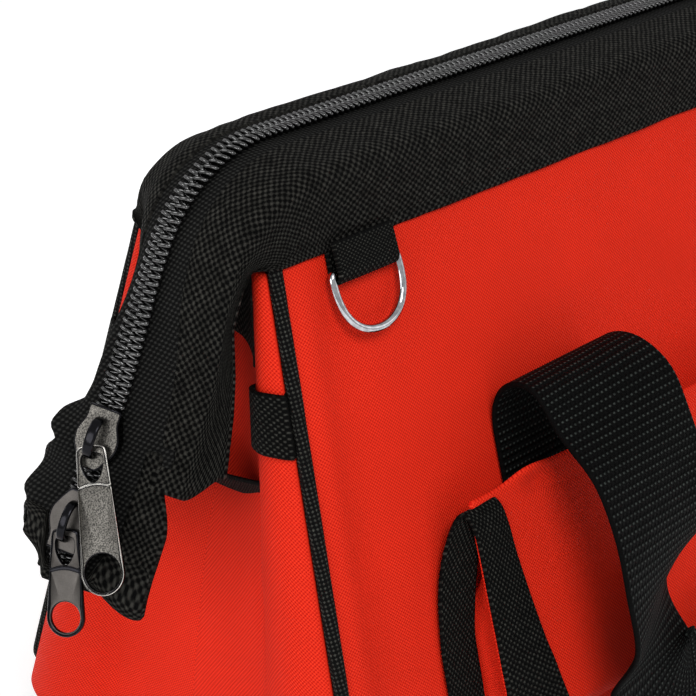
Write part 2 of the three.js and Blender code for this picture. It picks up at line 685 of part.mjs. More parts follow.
// A puller: a round bar through the bridge, two rails, and a tapering plate with a hole
const pinLift = sliderTop + pinRadius + 0.4;
function pullerBody({ length, topHalfWidth, endHalfWidth, swing }) {
  const endCentre = -length + endHalfWidth;
  const plate = new THREE.Shape();
  plate.moveTo(-topHalfWidth, -1);
  plate.lineTo(topHalfWidth, -1);
  plate.lineTo(endHalfWidth, endCentre);
  plate.absarc(0, endCentre, endHalfWidth, 0, -Math.PI, true);
  plate.lineTo(-topHalfWidth, -1);
  const eye = new THREE.Path();
  eye.moveTo(-topHalfWidth + pullerWall, -1.9);
  eye.lineTo(-topHalfWidth + pullerWall, -10.5);
  eye.lineTo(topHalfWidth - pullerWall, -10.5);
  eye.lineTo(topHalfWidth - pullerWall, -1.9);
  const hole = new THREE.Path();
  hole.absarc(0, endCentre + 0.4, endHalfWidth - pullerWall - 0.4, 0, 2 * Math.PI, false);
  plate.holes.push(eye, hole);
  const slab = new THREE.ExtrudeGeometry(plate, { depth: pullerThickness, bevelEnabled: false, curveSegments: 10 });
  slab.translate(0, 0, -pullerThickness / 2);
  const pin = new THREE.CylinderGeometry(pinRadius, pinRadius, 2 * topHalfWidth, 14).rotateZ(Math.PI / 2);
  const leaf = solid(slab).subtract(solid(block(-9, 9, -2, 2, -3, 3)));
  const body = geometryOf(leaf.add(solid(pin)).add(pullerRail(-topHalfWidth)).add(pullerRail(topHalfWidth)));
  return body.rotateZ(swing).translate(0, -pinDrop, pinLift);
}
function pullerRail(outerX) {
  const innerX = outerX - Math.sign(outerX) * pullerWall;
  return solid(block(Math.min(outerX, innerX), Math.max(outerX, innerX), -2.4, 0, -pinRadius, pinRadius));
}

const upperFrame = sliderFrame(upperSliderAt);
const lowerFrame = sliderFrame(upperSliderAt + sliderSpacing);
add("upper_slider", sliderBody(false).applyMatrix4(upperFrame), blackNickel);
add("lower_slider", sliderBody(true).applyMatrix4(lowerFrame), blackNickel);
add("upper_puller", pullerBody(upperPuller).applyMatrix4(upperFrame), blackNickel);
add("lower_puller", pullerBody(lowerPuller).applyMatrix4(lowerFrame), blackNickel);

export default bag;
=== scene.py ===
# The looks of a red cloth tool bag with black trim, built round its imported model.
# Shapes are worked out in millimetres and turned to metres when a mesh is made.
import math

import bpy
import numpy as np
from mathutils import Matrix, Vector


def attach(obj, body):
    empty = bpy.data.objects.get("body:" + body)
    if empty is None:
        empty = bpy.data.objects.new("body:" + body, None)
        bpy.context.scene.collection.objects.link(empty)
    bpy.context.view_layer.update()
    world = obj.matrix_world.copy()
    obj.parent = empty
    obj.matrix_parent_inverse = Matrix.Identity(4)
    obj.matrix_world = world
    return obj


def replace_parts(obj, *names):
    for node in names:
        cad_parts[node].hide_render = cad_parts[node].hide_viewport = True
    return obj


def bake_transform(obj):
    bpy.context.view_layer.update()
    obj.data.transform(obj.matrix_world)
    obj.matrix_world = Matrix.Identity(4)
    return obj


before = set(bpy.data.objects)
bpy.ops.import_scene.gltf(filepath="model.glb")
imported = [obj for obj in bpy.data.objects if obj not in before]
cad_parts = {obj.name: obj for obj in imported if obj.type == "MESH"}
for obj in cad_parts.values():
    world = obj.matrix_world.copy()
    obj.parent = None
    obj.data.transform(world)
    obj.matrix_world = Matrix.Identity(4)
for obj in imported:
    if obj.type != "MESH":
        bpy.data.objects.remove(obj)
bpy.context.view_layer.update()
print("frame loaded")

millimetre = 0.001

# camera: the photograph's viewing angle, distance and framing
cameraView = {
    "azimuth": -45.71,
    "elevation": 25.81,
    "roll": 0.38,
    "place": (-589.49, -439.65, 456.37),
    "focalPixels": 2100,
    "imagePixels": 696,
    "sensor": 36.0,
}


def makeCamera(c):
    a, e, r = (math.radians(c[k]) for k in ("azimuth", "elevation", "roll"))
    back = Vector((math.sin(a) * math.cos(e), -math.cos(a) * math.cos(e), math.sin(e)))
    level = Vector((math.cos(a), math.sin(a), 0))
    upright = back.cross(level)
    right = level * math.cos(r) + upright * math.sin(r)
    up = upright * math.cos(r) - level * math.sin(r)
    data = bpy.data.cameras.new("camera")
    data.sensor_width = c["sensor"]
    data.lens = c["sensor"] * c["focalPixels"] / c["imagePixels"]
    data.clip_start, data.clip_end = 0.05, 20
    camera = bpy.data.objects.new("camera", data)
    turn = Matrix((right, up, back)).transposed()
    camera.matrix_world = Matrix.Translation(Vector(c["place"]) * millimetre) @ turn.to_4x4()
    bpy.context.scene.collection.objects.link(camera)
    bpy.context.scene.camera = camera


makeCamera(cameraView)
print("camera set")


# small sums used by every shape
def smooth(x, a, b):  # 0 before a, 1 after b, level at both
    t = np.clip((np.asarray(x, float) - a) / (b - a), 0, 1)
    return t * t * (3 - 2 * t)


def bell(x, middle, width):  # 1 at the middle, fading to 0 over about two widths
    return np.exp(-(((np.asarray(x, float) - middle) / width) ** 2))


def mix(a, b, t):
    return a + (b - a) * t


def unit(v):
    return v / np.maximum(np.linalg.norm(v, axis=-1, keepdims=True), 1e-9)


def point(x, y, z):
    return np.stack(np.broadcast_arrays(np.asarray(x, float), y, z), -1)


def blunted(wave, power):  # a sine or cosine made blunter, which squares up the ring it draws
    return np.sign(wave) * np.abs(wave) ** power


def rotated(a, b, angle):
    return a * math.cos(angle) - b * math.sin(angle), a * math.sin(angle) + b * math.cos(angle)


def lengths(line, axis):  # how far each point lies along its line, or along its row or column of a grid
    steps = np.diff(line, axis=axis, prepend=np.take(line, [0], axis))
    return np.cumsum(np.linalg.norm(steps, axis=-1), axis=axis)


def softNoise(u, v, size, seed):
    # value noise from -1 to 1: a random height at each corner of a square mesh, eased between the corners
    table = np.random.default_rng(seed).uniform(-1, 1, (64, 64))
    a, b = np.broadcast_arrays(np.asarray(u, float) / size + 500, np.asarray(v, float) / size + 500)
    i, j = np.floor(a).astype(int), np.floor(b).astype(int)
    p, q = smooth(a - i, 0, 1), smooth(b - j, 0, 1)
    corner = lambda di, dj: table[(i + di) % 64, (j + dj) % 64]
    return mix(mix(corner(0, 0), corner(1, 0), p), mix(corner(0, 1), corner(1, 1), p), q)


# meshes from grids of points
def gridQuads(index):  # a quad for each square of a grid of vertex numbers, wound the same way
    a, b, c, d = index[:-1, :-1], index[1:, :-1], index[1:, 1:], index[:-1, 1:]
    return np.stack([a, b, c, d], -1).reshape(-1, 4)


class Parts:  # vertices and faces of one piece, gathered before its mesh is made
    def __init__(self):
        self.points, self.faces, self.uvs, self.looks, self.count = [], [], [], [], 0

    def add(self, points, uvs, *faces, wrap=(0, 0), look=0):
        # wrap is how far u and v run before a closed shape meets itself again, or 0 where it doesn't
        uvs = np.asarray(uvs, float).reshape(-1, 2)
        self.points.append(np.asarray(points, float).reshape(-1, 3))
        for face in faces:
            corner = uvs[face]
            for k in (0, 1):
                if wrap[k]:
                    top = corner[..., k].max(1, keepdims=True)
                    corner[..., k] += wrap[k] * (corner[..., k] < top - wrap[k] / 2)
            self.faces.append(face + self.count)
            self.uvs.append(corner.reshape(-1, 2))
            self.looks.append(np.full(len(face), look))
        self.count += len(self.points[-1])

    def make(self, name, material, *more):
        name = f"dressed_{name}"
        mesh = bpy.data.meshes.new(name)
        mesh.vertices.add(self.count)
        mesh.vertices.foreach_set("co", (np.concatenate(self.points) * millimetre).astype(np.float32).ravel())
        corners = np.concatenate([f.ravel() for f in self.faces]).astype(np.int32)
        sizes = np.concatenate([np.full(len(f), f.shape[1]) for f in self.faces])
        mesh.loops.add(len(corners))
        mesh.loops.foreach_set("vertex_index", corners)
        mesh.polygons.add(len(sizes))
        mesh.polygons.foreach_set("loop_start", (np.cumsum(sizes) - sizes).astype(np.int32))
        mesh.polygons.foreach_set("use_smooth", np.ones(len(sizes), bool))
        mesh.polygons.foreach_set("material_index", np.concatenate(self.looks).astype(np.int32))
        mesh.update(calc_edges=True)
        layer = mesh.uv_layers.new(name="cloth")
        layer.uv.foreach_set("vector", np.concatenate(self.uvs).astype(np.float32).ravel())
        for one in (material, *more):
            mesh.materials.append(one)
        made = bpy.data.objects.new(name, mesh)
        bpy.context.scene.collection.objects.link(made)
        return outwards(made)


def outwards(piece):  # turns a closed piece's faces out where its volume came out negative
    mesh = piece.data
    co = np.zeros(len(mesh.vertices) * 3)
    mesh.vertices.foreach_get("co", co)
    mesh.calc_loop_triangles()
    tri = np.zeros(len(mesh.loop_triangles) * 3, np.int32)
    mesh.loop_triangles.foreach_get("vertices", tri)
    a, b, c = (co.reshape(-1, 3)[tri.reshape(-1, 3)[:, k]] for k in range(3))
    if (a * np.cross(b, c)).sum() < 0:
        mesh.flip_normals()
    return piece


def gridNormals(grid):  # square to the rows and columns of a grid
    return unit(np.cross(np.gradient(grid, axis=0), np.gradient(grid, axis=1)))


def shell(parts, middle, half, u, v, outward, lift=0.0, look=0, trim=(0, 0)):
    # a cloth of thickness twice half round a middle surface, with round edges: both faces share one ring of
    # points half a thickness outside the middle surface's rim; lift moves it towards outward, and trim
    # leaves out rows that only steer the normals
    normal = gridNormals(middle)
    normal = normal * np.sign((normal * outward).sum(-1).mean())
    kept = slice(trim[0], len(middle) - trim[1])
    middle, normal, full = middle[kept], normal[kept], middle.shape[:2]
    u, v, half, lift = (np.broadcast_to(w, full)[kept] for w in (u, v, half, lift))
    rows, columns = middle.shape[:2]
    middle = middle + normal * lift[..., None]
    reach = float(np.mean(half))
    wide = np.pad(middle, ((1, 1), (1, 1), (0, 0)), mode="edge")
    wide[0, 1:-1] += reach * unit(middle[0] - middle[1])
    wide[-1, 1:-1] += reach * unit(middle[-1] - middle[-2])
    wide[1:-1, 0] += reach * unit(middle[:, 0] - middle[:, 1])
    wide[1:-1, -1] += reach * unit(middle[:, -1] - middle[:, -2])
    for i, near in ((0, 1), (-1, -2)):
        for j, beside in ((0, 1), (-1, -2)):
            wide[i, j] = (wide[near, j] + wide[i, beside]) / 2
    offset = np.zeros_like(wide)
    offset[1:-1, 1:-1] = normal * half[..., None]
    count = (rows + 2) * (columns + 2)
    front = np.arange(count).reshape(rows + 2, columns + 2)
    behind = front.copy()
    behind[1:-1, 1:-1] = count + np.arange(rows * columns).reshape(rows, columns)
    points = np.concatenate([(wide + offset).reshape(-1, 3), (wide - offset)[1:-1, 1:-1].reshape(-1, 3)])
    uv = np.stack([u, v], -1).astype(float)
    around = np.pad(uv, ((1, 1), (1, 1), (0, 0)), mode="edge")
    uvs = np.concatenate([around.reshape(-1, 2), uv.reshape(-1, 2)])
    parts.add(points, uvs, gridQuads(front), gridQuads(behind)[:, ::-1], look=look)


def closeEnd(ring, middle):  # the faces from a ring of vertex numbers to one middle vertex
    return np.stack([ring, np.roll(ring, -1), np.full(len(ring), middle)], -1)


def tube(parts, grid, u, v, look=0):
    # a closed skin through rings of points, each row one ring, with both ends drawn to a middle point
    rows, sides = grid.shape[:2]
    index = np.arange(rows * sides).reshape(rows, sides)
    points = np.concatenate([grid.reshape(-1, 3), grid[[0, -1]].mean(1)])
    uv = np.stack(np.broadcast_arrays(u, v), -1).astype(float)
    girth = float(uv[0, 1, 1] - uv[0, 0, 1]) * sides
    uv = np.concatenate([uv.reshape(-1, 2), uv[[0, -1]].mean(1)])
    ends = [closeEnd(index[0], rows * sides), closeEnd(index[-1], rows * sides + 1)[:, ::-1]]
    skin = gridQuads(np.concatenate([index, index[:, :1]], 1))
    parts.add(points, uv, skin, *ends, wrap=(0, girth), look=look)


def bar(parts, path, radius, sides, reference, closed=False, look=0):
    # a round bar: a circle set square to the path at each of its points, with domed ends
    ahead = unit(np.roll(path, -1, 0) - np.roll(path, 1, 0)) if closed else unit(np.gradient(path, axis=0))
    side = unit(np.cross(ahead, np.broadcast_to(reference, path.shape)))
    up = np.cross(side, ahead)
    turn = (np.arange(sides) * 2 * np.pi / sides)[None, :, None]
    wide = np.broadcast_to(np.asarray(radius, float), len(path))[:, None, None]
    points = path[:, None] + side[:, None] * np.cos(turn) * wide + up[:, None] * np.sin(turn) * wide
    rows = len(path)
    index = np.arange(rows * sides).reshape(rows, sides)
    index = np.concatenate([index, index[:1]], 0) if closed else index
    faces = [gridQuads(np.concatenate([index, index[:, :1]], 1))]
    length = np.concatenate([[0], np.cumsum(np.linalg.norm(np.diff(path, axis=0), axis=1))])
    girth = 2 * np.pi * float(np.mean(wide))
    uv = np.broadcast_arrays(length[:, None], np.arange(sides)[None] / sides * girth)
    uv = np.stack(uv, -1).reshape(-1, 2)
    points = points.reshape(-1, 3)
    if not closed:
        ends = np.stack([path[0] - ahead[0] * wide[0, 0] * 0.4, path[-1] + ahead[-1] * wide[-1, 0] * 0.4])
        points = np.concatenate([points, ends])
        uv = np.concatenate([uv, uv[[0, -1]]])
        k, n = np.arange(sides), (np.arange(sides) + 1) % sides
        last, tip = (rows - 1) * sides, rows * sides
        faces.append(np.stack([k, n, np.full(sides, tip)], -1))
        faces.append(np.stack([last + n, last + k, np.full(sides, tip + 1)], -1))
    parts.add(points, uv, *faces, wrap=(length[-1] if closed else 0, girth), look=look)


# materials
def colour(hexText):  # an sRGB hex value as linear numbers
    s = np.array([int(hexText[k:k + 2], 16) / 255 for k in (1, 3, 5)])
    linear = np.where(s <= 0.04045, s / 12.92, ((s + 0.055) / 1.055) ** 2.4)
    return (*linear.tolist(), 1.0)


def addNode(tree, kind, inputs=(), **settings):
    # one node with its settings; an input is a number, a colour, a node (its first output) or a socket
    node = tree.nodes.new("ShaderNode" + kind)
    for key, value in settings.items():
        setattr(node, key, value)
    for key, value in dict(inputs).items():
        if isinstance(value, bpy.types.Node):
            value = value.outputs[0]
        if isinstance(value, bpy.types.NodeSocket):
            tree.links.new(value, node.inputs[key])
        else:
            node.inputs[key].default_value = value
    return node


def newMaterial(name):
    material = bpy.data.materials.new(name)
    material.use_nodes = True
    tree = material.node_tree
    tree.nodes.clear()
    surface = addNode(tree, "BsdfPrincipled")
    tree.links.new(surface.outputs[0], addNode(tree, "OutputMaterial").inputs[0])
    return material, tree, surface


def clothPlace(tree, wobble, wobbleSize):
    # the piece's own cloth coordinates in millimetres, with each yarn a little out of true
    place = addNode(tree, "UVMap", uv_map="cloth")
    stray = addNode(tree, "TexNoise", {"Vector": place, "Scale": 1 / wobbleSize, "Detail": 2.0})
    stray = addNode(tree, "VectorMath", {0: stray.outputs["Color"], 1: (0.5, 0.5, 0.5)}, operation="SUBTRACT")
    stray = addNode(tree, "VectorMath", {0: stray, "Scale": wobble * 2}, operation="SCALE")
    return addNode(tree, "VectorMath", {0: place, 1: stray}, operation="ADD")


def plainWeave(tree, place, pitch, turn=0.0):
    # 1 on the yarns that lie on top and -1 on those below: the product of a sine along each set of yarns
    turned = addNode(tree, "Mapping", {"Vector": place, "Rotation": (0, 0, turn)})
    halfWaves = (math.pi / pitch[0], math.pi / pitch[1], 1)
    scaled = addNode(tree, "Mapping", {"Vector": turned, "Scale": halfWaves})
    apart = addNode(tree, "SeparateXYZ", {0: scaled})
    across = addNode(tree, "Math", {0: apart.outputs[0]}, operation="SINE")
    along = addNode(tree, "Math", {0: apart.outputs[1]}, operation="SINE")
    return addNode(tree, "Math", {0: across, 1: along}, operation="MULTIPLY")


def woven(name, c):
    # a woven cloth: yarns over and under at their real pitch, uneven dye in patches that also vary the
    # painted highlights, fuzz, and painted light: a painted highlight on the yarn tops and painted shade
    # between them
    material, tree, surface = newMaterial(name)
    place = clothPlace(tree, c["wobble"], c["wobbleSize"])
    weave = plainWeave(tree, place, c["pitch"], c.get("turn", 0.0))
    grain = {"Vector": place, "Scale": 1 / c["fuzz"], "Detail": 3.0, "Roughness": 0.7}
    fuzz = addNode(tree, "TexNoise", grain)
    height = addNode(tree, "Math", {0: fuzz, 1: c["fuzzHeight"], 2: weave}, operation="MULTIPLY_ADD")
    if "rib" in c:
        ribPlace = addNode(tree, "Mapping", {"Vector": place, "Scale": (math.pi * 2 / c["rib"][0], 1, 1)})
        rib = addNode(tree, "Math", {0: addNode(tree, "SeparateXYZ", {0: ribPlace})}, operation="SINE")
        height = addNode(tree, "Math", {0: rib, 1: c["rib"][1], 2: height}, operation="MULTIPLY_ADD")
    eased = {0: height, 1: c["low"], 2: c["high"]}
    tops = addNode(tree, "MapRange", eased, interpolation_type="SMOOTHSTEP")
    patches = addNode(tree, "TexNoise", {"Vector": place, "Scale": 1 / c["patch"], "Detail": 2.0})
    share = c["patchShare"]
    uneven = addNode(tree, "MapRange", {0: patches, 1: 0.3, 2: 0.7, 3: 1 - share, 4: 1 + share})
    # painted light: the colour runs from deep, the painted shade between the yarns, to top, the painted
    # highlight on their tops
    shade = addNode(tree, "Mix", {0: tops, 6: colour(c["deep"]), 7: colour(c["top"])}, data_type="RGBA")
    shade = addNode(tree, "VectorMath", {0: shade.outputs[2], "Scale": uneven}, operation="SCALE")
    depth = c["depth"] * millimetre
    bump = addNode(tree, "Bump", {"Height": height, "Strength": c["strength"], "Distance": depth})
    rough = addNode(tree, "MapRange", {0: tops, 3: c["rough"][0], 4: c["rough"][1]})
    tree.links.new(shade.outputs[0], surface.inputs["Base Color"])
    tree.links.new(rough.outputs[0], surface.inputs["Roughness"])
    tree.links.new(bump.outputs[0], surface.inputs["Normal"])
    surface.inputs["IOR"].default_value = 1.5
    surface.inputs["Specular IOR Level"].default_value = c["shine"]
    return material


# in every woven cloth below, deep is the colour between the yarns with painted shade, and top the colour of
# the yarn tops with a painted highlight
# 600 denier polyester oxford, coated behind: even and matt. Real yarns are 0.45 mm apart, drawn at 0.62 mm,
# the finest that the render can hold.
redOxford = woven("red oxford cloth", {
    "deep": "#C81408", "top": "#FB3A20", "pitch": (0.62, 0.62), "wobble": 0.1, "wobbleSize": 5, "fuzz": 0.5,
    "fuzzHeight": 0.5, "low": -0.9, "high": 1.3, "patch": 45, "patchShare": 0.04, "strength": 0.7,
    "depth": 0.16, "rough": (0.7, 0.58), "shine": 0.08,
})
# 1680 denier ballistic polyester: coarse doubled yarns 1.3 by 1.05 mm apart, whose tops have a painted
#                                  highlight
coarseCloth = woven("coarse black cloth", {
    "deep": "#020202", "top": "#3E3D39", "pitch": (1.3, 1.05), "wobble": 0.5, "wobbleSize": 2.4,
    "fuzz": 0.45, "fuzzHeight": 1.7, "low": 0.3, "high": 2.1, "patch": 4, "patchShare": 0.4,
    "strength": 1.0, "depth": 0.5, "rough": (0.85, 0.55), "shine": 0.06,
})
# the same cloth cut on the bias and drawn tight over a cord, so its yarns run slantwise
biasCloth = woven("black bias cloth", {
    "deep": "#020202", "top": "#4A4A45", "pitch": (1.0, 1.0), "turn": math.radians(38), "wobble": 0.3,
    "wobbleSize": 2.5, "fuzz": 0.4, "fuzzHeight": 1.0, "low": 0.4, "high": 1.9, "patch": 3,
    "patchShare": 0.5, "strength": 0.85, "depth": 0.4, "rough": (0.85, 0.55), "shine": 0.1,
})
# polypropylene webbing: thick weft ribs across the strap every 2.6 mm, dimpled where the warp crosses them
ribWebbing = woven("black ribbed webbing", {
    "deep": "#020202", "top": "#3C413E", "pitch": (1.3, 0.95), "wobble": 0.12, "wobbleSize": 4, "fuzz": 0.4,
    "fuzzHeight": 0.7, "rib": (2.6, 1.1), "low": 0.8, "high": 2.6, "patch": 5, "patchShare": 0.4,
    "strength": 0.9, "depth": 0.5, "rough": (0.7, 0.45), "shine": 0.06,
})
# a softer binding tape of thick spun yarns in plain weave
bindingTape = woven("black binding tape", {
    "deep": "#020202", "top": "#42423D", "pitch": (1.2, 0.9), "wobble": 0.35, "wobbleSize": 3, "fuzz": 0.4,
    "fuzzHeight": 0.9, "low": 0.35, "high": 1.9, "patch": 3, "patchShare": 0.5, "strength": 0.9,
    "depth": 0.45, "rough": (0.8, 0.5), "shine": 0.07,
})
# zip tape: a fine twill, its ridges slantwise and close
zipTwill = woven("black zip twill", {
    "deep": "#040404", "top": "#2E2E2C", "pitch": (0.85, 1.2), "turn": math.radians(32), "wobble": 0.12,
    "wobbleSize": 3, "fuzz": 0.35, "fuzzHeight": 0.8, "low": 0.1, "high": 1.7, "patch": 15,
    "patchShare": 0.12, "strength": 0.7, "depth": 0.25, "rough": (0.8, 0.6), "shine": 0.08,
})
# coated cloth of the boot: a fine weave filled with black coating
coatedCloth = woven("black coated cloth", {
    "deep": "#0C0C0D", "top": "#1E1F20", "pitch": (0.8, 0.8), "wobble": 0.1, "wobbleSize": 4, "fuzz": 0.8,
    "fuzzHeight": 0.7, "low": -0.8, "high": 1.4, "patch": 60, "patchShare": 0.1, "strength": 0.5,
    "depth": 0.15, "rough": (0.55, 0.42), "shine": 0.3,
})


def plainPart(name, c):
    # a moulded, drawn or plated part: one colour with fine grain and slightly uneven gloss
    material, tree, surface = newMaterial(name)
    place = addNode(tree, "TexCoord").outputs["Object"]
    grain, broad = (
        addNode(tree, "TexNoise", {"Vector": place, "Scale": 1 / (c[size] * millimetre), "Detail": 2.0})
        for size in ("grain", "broad")
    )
    spread = c.get("spread", 0.5)
    speck = addNode(tree, "MapRange", {0: grain, 1: 0.5 - spread, 2: 0.5 + spread})
    shade = addNode(tree, "Mix", {0: speck, 6: colour(c["deep"]), 7: colour(c["top"])}, data_type="RGBA")
    rough = addNode(tree, "MapRange", {0: broad, 1: 0.3, 2: 0.7, 3: c["rough"][0], 4: c["rough"][1]})
    depth = c["depth"] * millimetre
    bump = addNode(tree, "Bump", {"Height": grain, "Strength": c["strength"], "Distance": depth})
    tree.links.new(shade.outputs[2], surface.inputs["Base Color"])
    tree.links.new(rough.outputs[0], surface.inputs["Roughness"])
    tree.links.new(bump.outputs[0], surface.inputs["Normal"])
    surface.inputs["Metallic"].default_value = c["metal"]
    surface.inputs["Specular IOR Level"].default_value = c.get("shine", 0.5)
    return material


# nylon monofilament, drawn smooth, so each turn has a narrow highlight
nylonCoil = plainPart("black nylon coil", {
    "deep": "#050505", "top": "#101010", "grain": 0.8, "broad": 3, "rough": (0.08, 0.14), "strength": 0.2,
    "depth": 0.02, "metal": 0.0, "shine": 1.0,
})
# zinc casting under black nickel: dark, with a sharp sheen
blackNickel = plainPart("black nickel", {
    "deep": "#18181A", "top": "#242427", "grain": 0.6, "broad": 6, "rough": (0.14, 0.24), "strength": 0.1,
    "depth": 0.02, "metal": 1.0,
})
# the same plate over a blasted face: speckled and dull
grainyNickel = plainPart("grainy black nickel", {
    "deep": "#32312F", "top": "#6C6964", "grain": 0.42, "spread": 0.13, "broad": 4, "rough": (0.36, 0.5),
    "strength": 0.7, "depth": 0.06, "metal": 1.0,
})
# the same plate over a brushed face
satinNickel = plainPart("satin black nickel", {
    "deep": "#413E3C", "top": "#524F4C", "grain": 0.5, "broad": 5, "rough": (0.34, 0.46), "strength": 0.15,
    "depth": 0.02, "metal": 1.0,
})
# pale bright metal on the upper puller's rim edges: a painted highlight
rimHighlightMetal = plainPart("painted rim highlight", {
    "deep": "#A5A29D", "top": "#E6E3DC", "grain": 0.8, "broad": 5, "rough": (0.2, 0.34), "strength": 0.1,
    "depth": 0.01, "metal": 1.0,
})
# drawn steel wire with bright chrome, coloured in blotches from its own bright grey down to a dark grey that
# is a painted reflection of dark surroundings
brightChrome = plainPart("bright chrome", {
    "deep": "#6E7075", "top": "#DCDEE2", "grain": 1.5, "broad": 5, "rough": (0.02, 0.06), "strength": 0.05,
    "depth": 0.01, "metal": 1.0,
})
# polypropylene sheet with a haircell face
boardPlastic = plainPart("black board", {
    "deep": "#1B1B1C", "top": "#2A2A2B", "grain": 0.7, "broad": 20, "rough": (0.5, 0.6), "strength": 0.4,
    "depth": 0.08, "metal": 0.0,
})
print("materials made")


# the bag's own lines, from the same sizes as the solids: front is side -1, the left end is end -1
mouth = {
    "halfLength": 200, "halfWidth": 29, "bandFoot": 210, "panelFoot": 18, "sideLean": 0.293,
    "endLean": 0.071, "zipHeight": 236.2, "cornerStart": 178, "cornerRadius": 44,
    "cornerTurn": math.radians(64), "straightEar": 101, "tailRadius": 30, "tailTurn": math.radians(36),
    "earLength": 118, "tailStart": 92,
}
sides = (("front", -1), ("back", 1))
ends = (("left", -1), ("right", 1))
# the zip's length from the left corner to the right one, counted backwards
topRun = -2 * mouth["cornerStart"]


def seamY(z):
    return -(mouth["halfWidth"] + mouth["sideLean"] * (mouth["bandFoot"] - z))


def seamX(z):
    return -(mouth["halfLength"] + mouth["endLean"] * (mouth["bandFoot"] - z))


leanAngle = math.atan(mouth["sideLean"])
panelUp = np.array([0, math.sin(leanAngle), math.cos(leanAngle)])
panelOut = np.array([0, -math.cos(leanAngle), math.sin(leanAngle)])
panelHeight = (mouth["bandFoot"] - mouth["panelFoot"]) / math.cos(leanAngle)


def onPanel(x, up, out):  # the front panel's own frame: along the bag, up the cloth, out from the cloth
    x, up, out = np.broadcast_arrays(np.asarray(x, float), up, out)
    foot = np.array([0, seamY(mouth["panelFoot"]), mouth["panelFoot"]])
    return foot + x[..., None] * [1, 0, 0] + up[..., None] * panelUp + out[..., None] * panelOut


def panelEdge(up):  # half the panel's length at a height up the cloth
    return -seamX(mouth["panelFoot"] + np.asarray(up, float) * math.cos(leanAngle))


def turned(points, end, side):  # a shape made for the front left, put at another end and side
    return np.asarray(points) * [-end, -side, 1]


def metres(points):
    return Vector(np.asarray(points, float).tolist()) * millimetre


def zipLine(s):
    # the zip's middle line: level over the top, an arc round the corner, straight down the ear, an arc,
    # straight
    s = np.asarray(s, float)
    m = mouth
    turn = np.clip(s / m["cornerRadius"], 0, m["cornerTurn"])
    x = -m["cornerStart"] - np.minimum(s, 0) - m["cornerRadius"] * np.sin(turn)
    z = m["zipHeight"] - m["cornerRadius"] * (1 - np.cos(turn))
    along = s - m["cornerRadius"] * m["cornerTurn"]
    down = np.clip(along, 0, m["straightEar"])
    past = np.maximum(along - m["straightEar"], 0)
    bend = np.minimum(past / m["tailRadius"], m["tailTurn"])
    rest = past - bend * m["tailRadius"]
    whole = turn + bend
    x = x - down * np.cos(turn) + m["tailRadius"] * (np.sin(turn) - np.sin(whole)) - rest * np.cos(whole)
    z = z - down * np.sin(turn) + m["tailRadius"] * (np.cos(whole) - np.cos(turn)) - rest * np.sin(whole)
    return point(x, 0, z), point(-np.cos(whole), 0, -np.sin(whole)), point(-np.sin(whole), 0, np.cos(whole))


# how the cloth slopes away from the zip, in degrees, by the coil, on the tape, by the hem and beyond the
# ridge: over the top, down the ear (with the zip's stretch in which it eases there), and on the tail
clothSlopes = {
    -1: ((2, 25, 55, 92, 25), (4, 29, 55, 92, 29), (10, 38, 15, 105, 38), (88, 46, 15, 105, 46)),
    1: ((2, -25, 55, 92, -25), (3, 62, 28, 70, -14), (24, 68, 26, 54, 0), (88, 84, 30, 66, 40)),
}
tailEase = (93, 107)
slopeBreaks = ((8, 1.5), (15, 2), (28, 4.5))
foldedFrom = (7, 13)
slopeSteps = 24


def slopeAt(s, side, distance, folded=0):
    # each slope eases into the next round its break, and down the zip from its top value to its ear and
    # tail ones; folded cloth keeps the ear's slopes beyond the tape
    past, free = smooth(s, *tailEase), 1 - folded * smooth(distance, *foldedFrom)
    values = [
        np.radians(top + (ear - top) * smooth(s, start, stop) + (low - ear) * past * free)
        for top, ear, start, stop, low in clothSlopes[side]
    ]
    slope = values[0]
    for k, (at, reach) in enumerate(slopeBreaks):
        slope = slope + (values[k + 1] - values[k]) * smooth(distance, at - reach, at + reach)
    return slope


def strip(s, side, distance, lift=0.0, folded=0):
    # a place beside the zip: the slopes summed over the distance, then lifted square to the cloth
    s, distance, lift = np.broadcast_arrays(np.asarray(s, float), distance, lift)
    place, _, out = zipLine(s)
    share = (np.arange(slopeSteps) + 0.5) / slopeSteps
    slopes = slopeAt(s[..., None], side, distance[..., None] * share, folded)
    here = slopeAt(s, side, distance, folded)
    across = np.cos(slopes).mean(-1) * distance + np.sin(here) * lift
    away = np.cos(here) * lift - np.sin(slopes).mean(-1) * distance
    return place + across[..., None] * np.array([0, side, 0]) + away[..., None] * out


def stations(a, b, step):
    # rows from a to b with a close pair at each end, so that pieces meeting there shade as one, and one row
    # beyond
    inner = np.linspace(a, b, max(2, int(round(abs(b - a) / step)) + 1))
    way = np.sign(b - a)
    hair = 0.05 * way
    return np.concatenate([[a - 2 * way, a, a + hair], inner[1:-1], [b - hair, b, b + 2 * way]])


def bendEar(piece, end):  # works out where an ear would follow the side at its top and the bag at its foot, but uses neither and only bakes its place
    bagPoint, sidePoint = (metres(turned(zipLine(s)[0], end, 1)) for s in (mouth["tailStart"], 2))
    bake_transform(piece)


# mouth band and ears: one cloth from the zip over a rounded ridge, sewn down on the panel along the top and
# hanging free past the corner
band = {
    "half": 0.9, "inner": 10.5, "earInner": 19.5, "innerEase": (20, 125), "ridge": 28, "reach": 23,
    "ridgeShare": 0.38, "seamHeight": 209.6, "seamOut": 2.6, "seamShare": 0.63, "seamTuck": 3,
    "seamEnd": 210, "wrap": 8, "letGo": (36, 64), "lump": 0.55, "lumpSize": 17, "crumple": 0.28,
    "crumpleSize": 6, "stitchLine": 0.93, "stitchDepth": 0.5, "stitchWidth": 0.025, "hemFrom": 55,
    "hemGrowth": 0.2, "hemSlant": 10, "slantFrom": 0.42, "hemRoll": 0.9, "hemStitch": 9, "hemDepth": 0.7,
    "fold": 0.9, "foldEase": (60, 105),
}


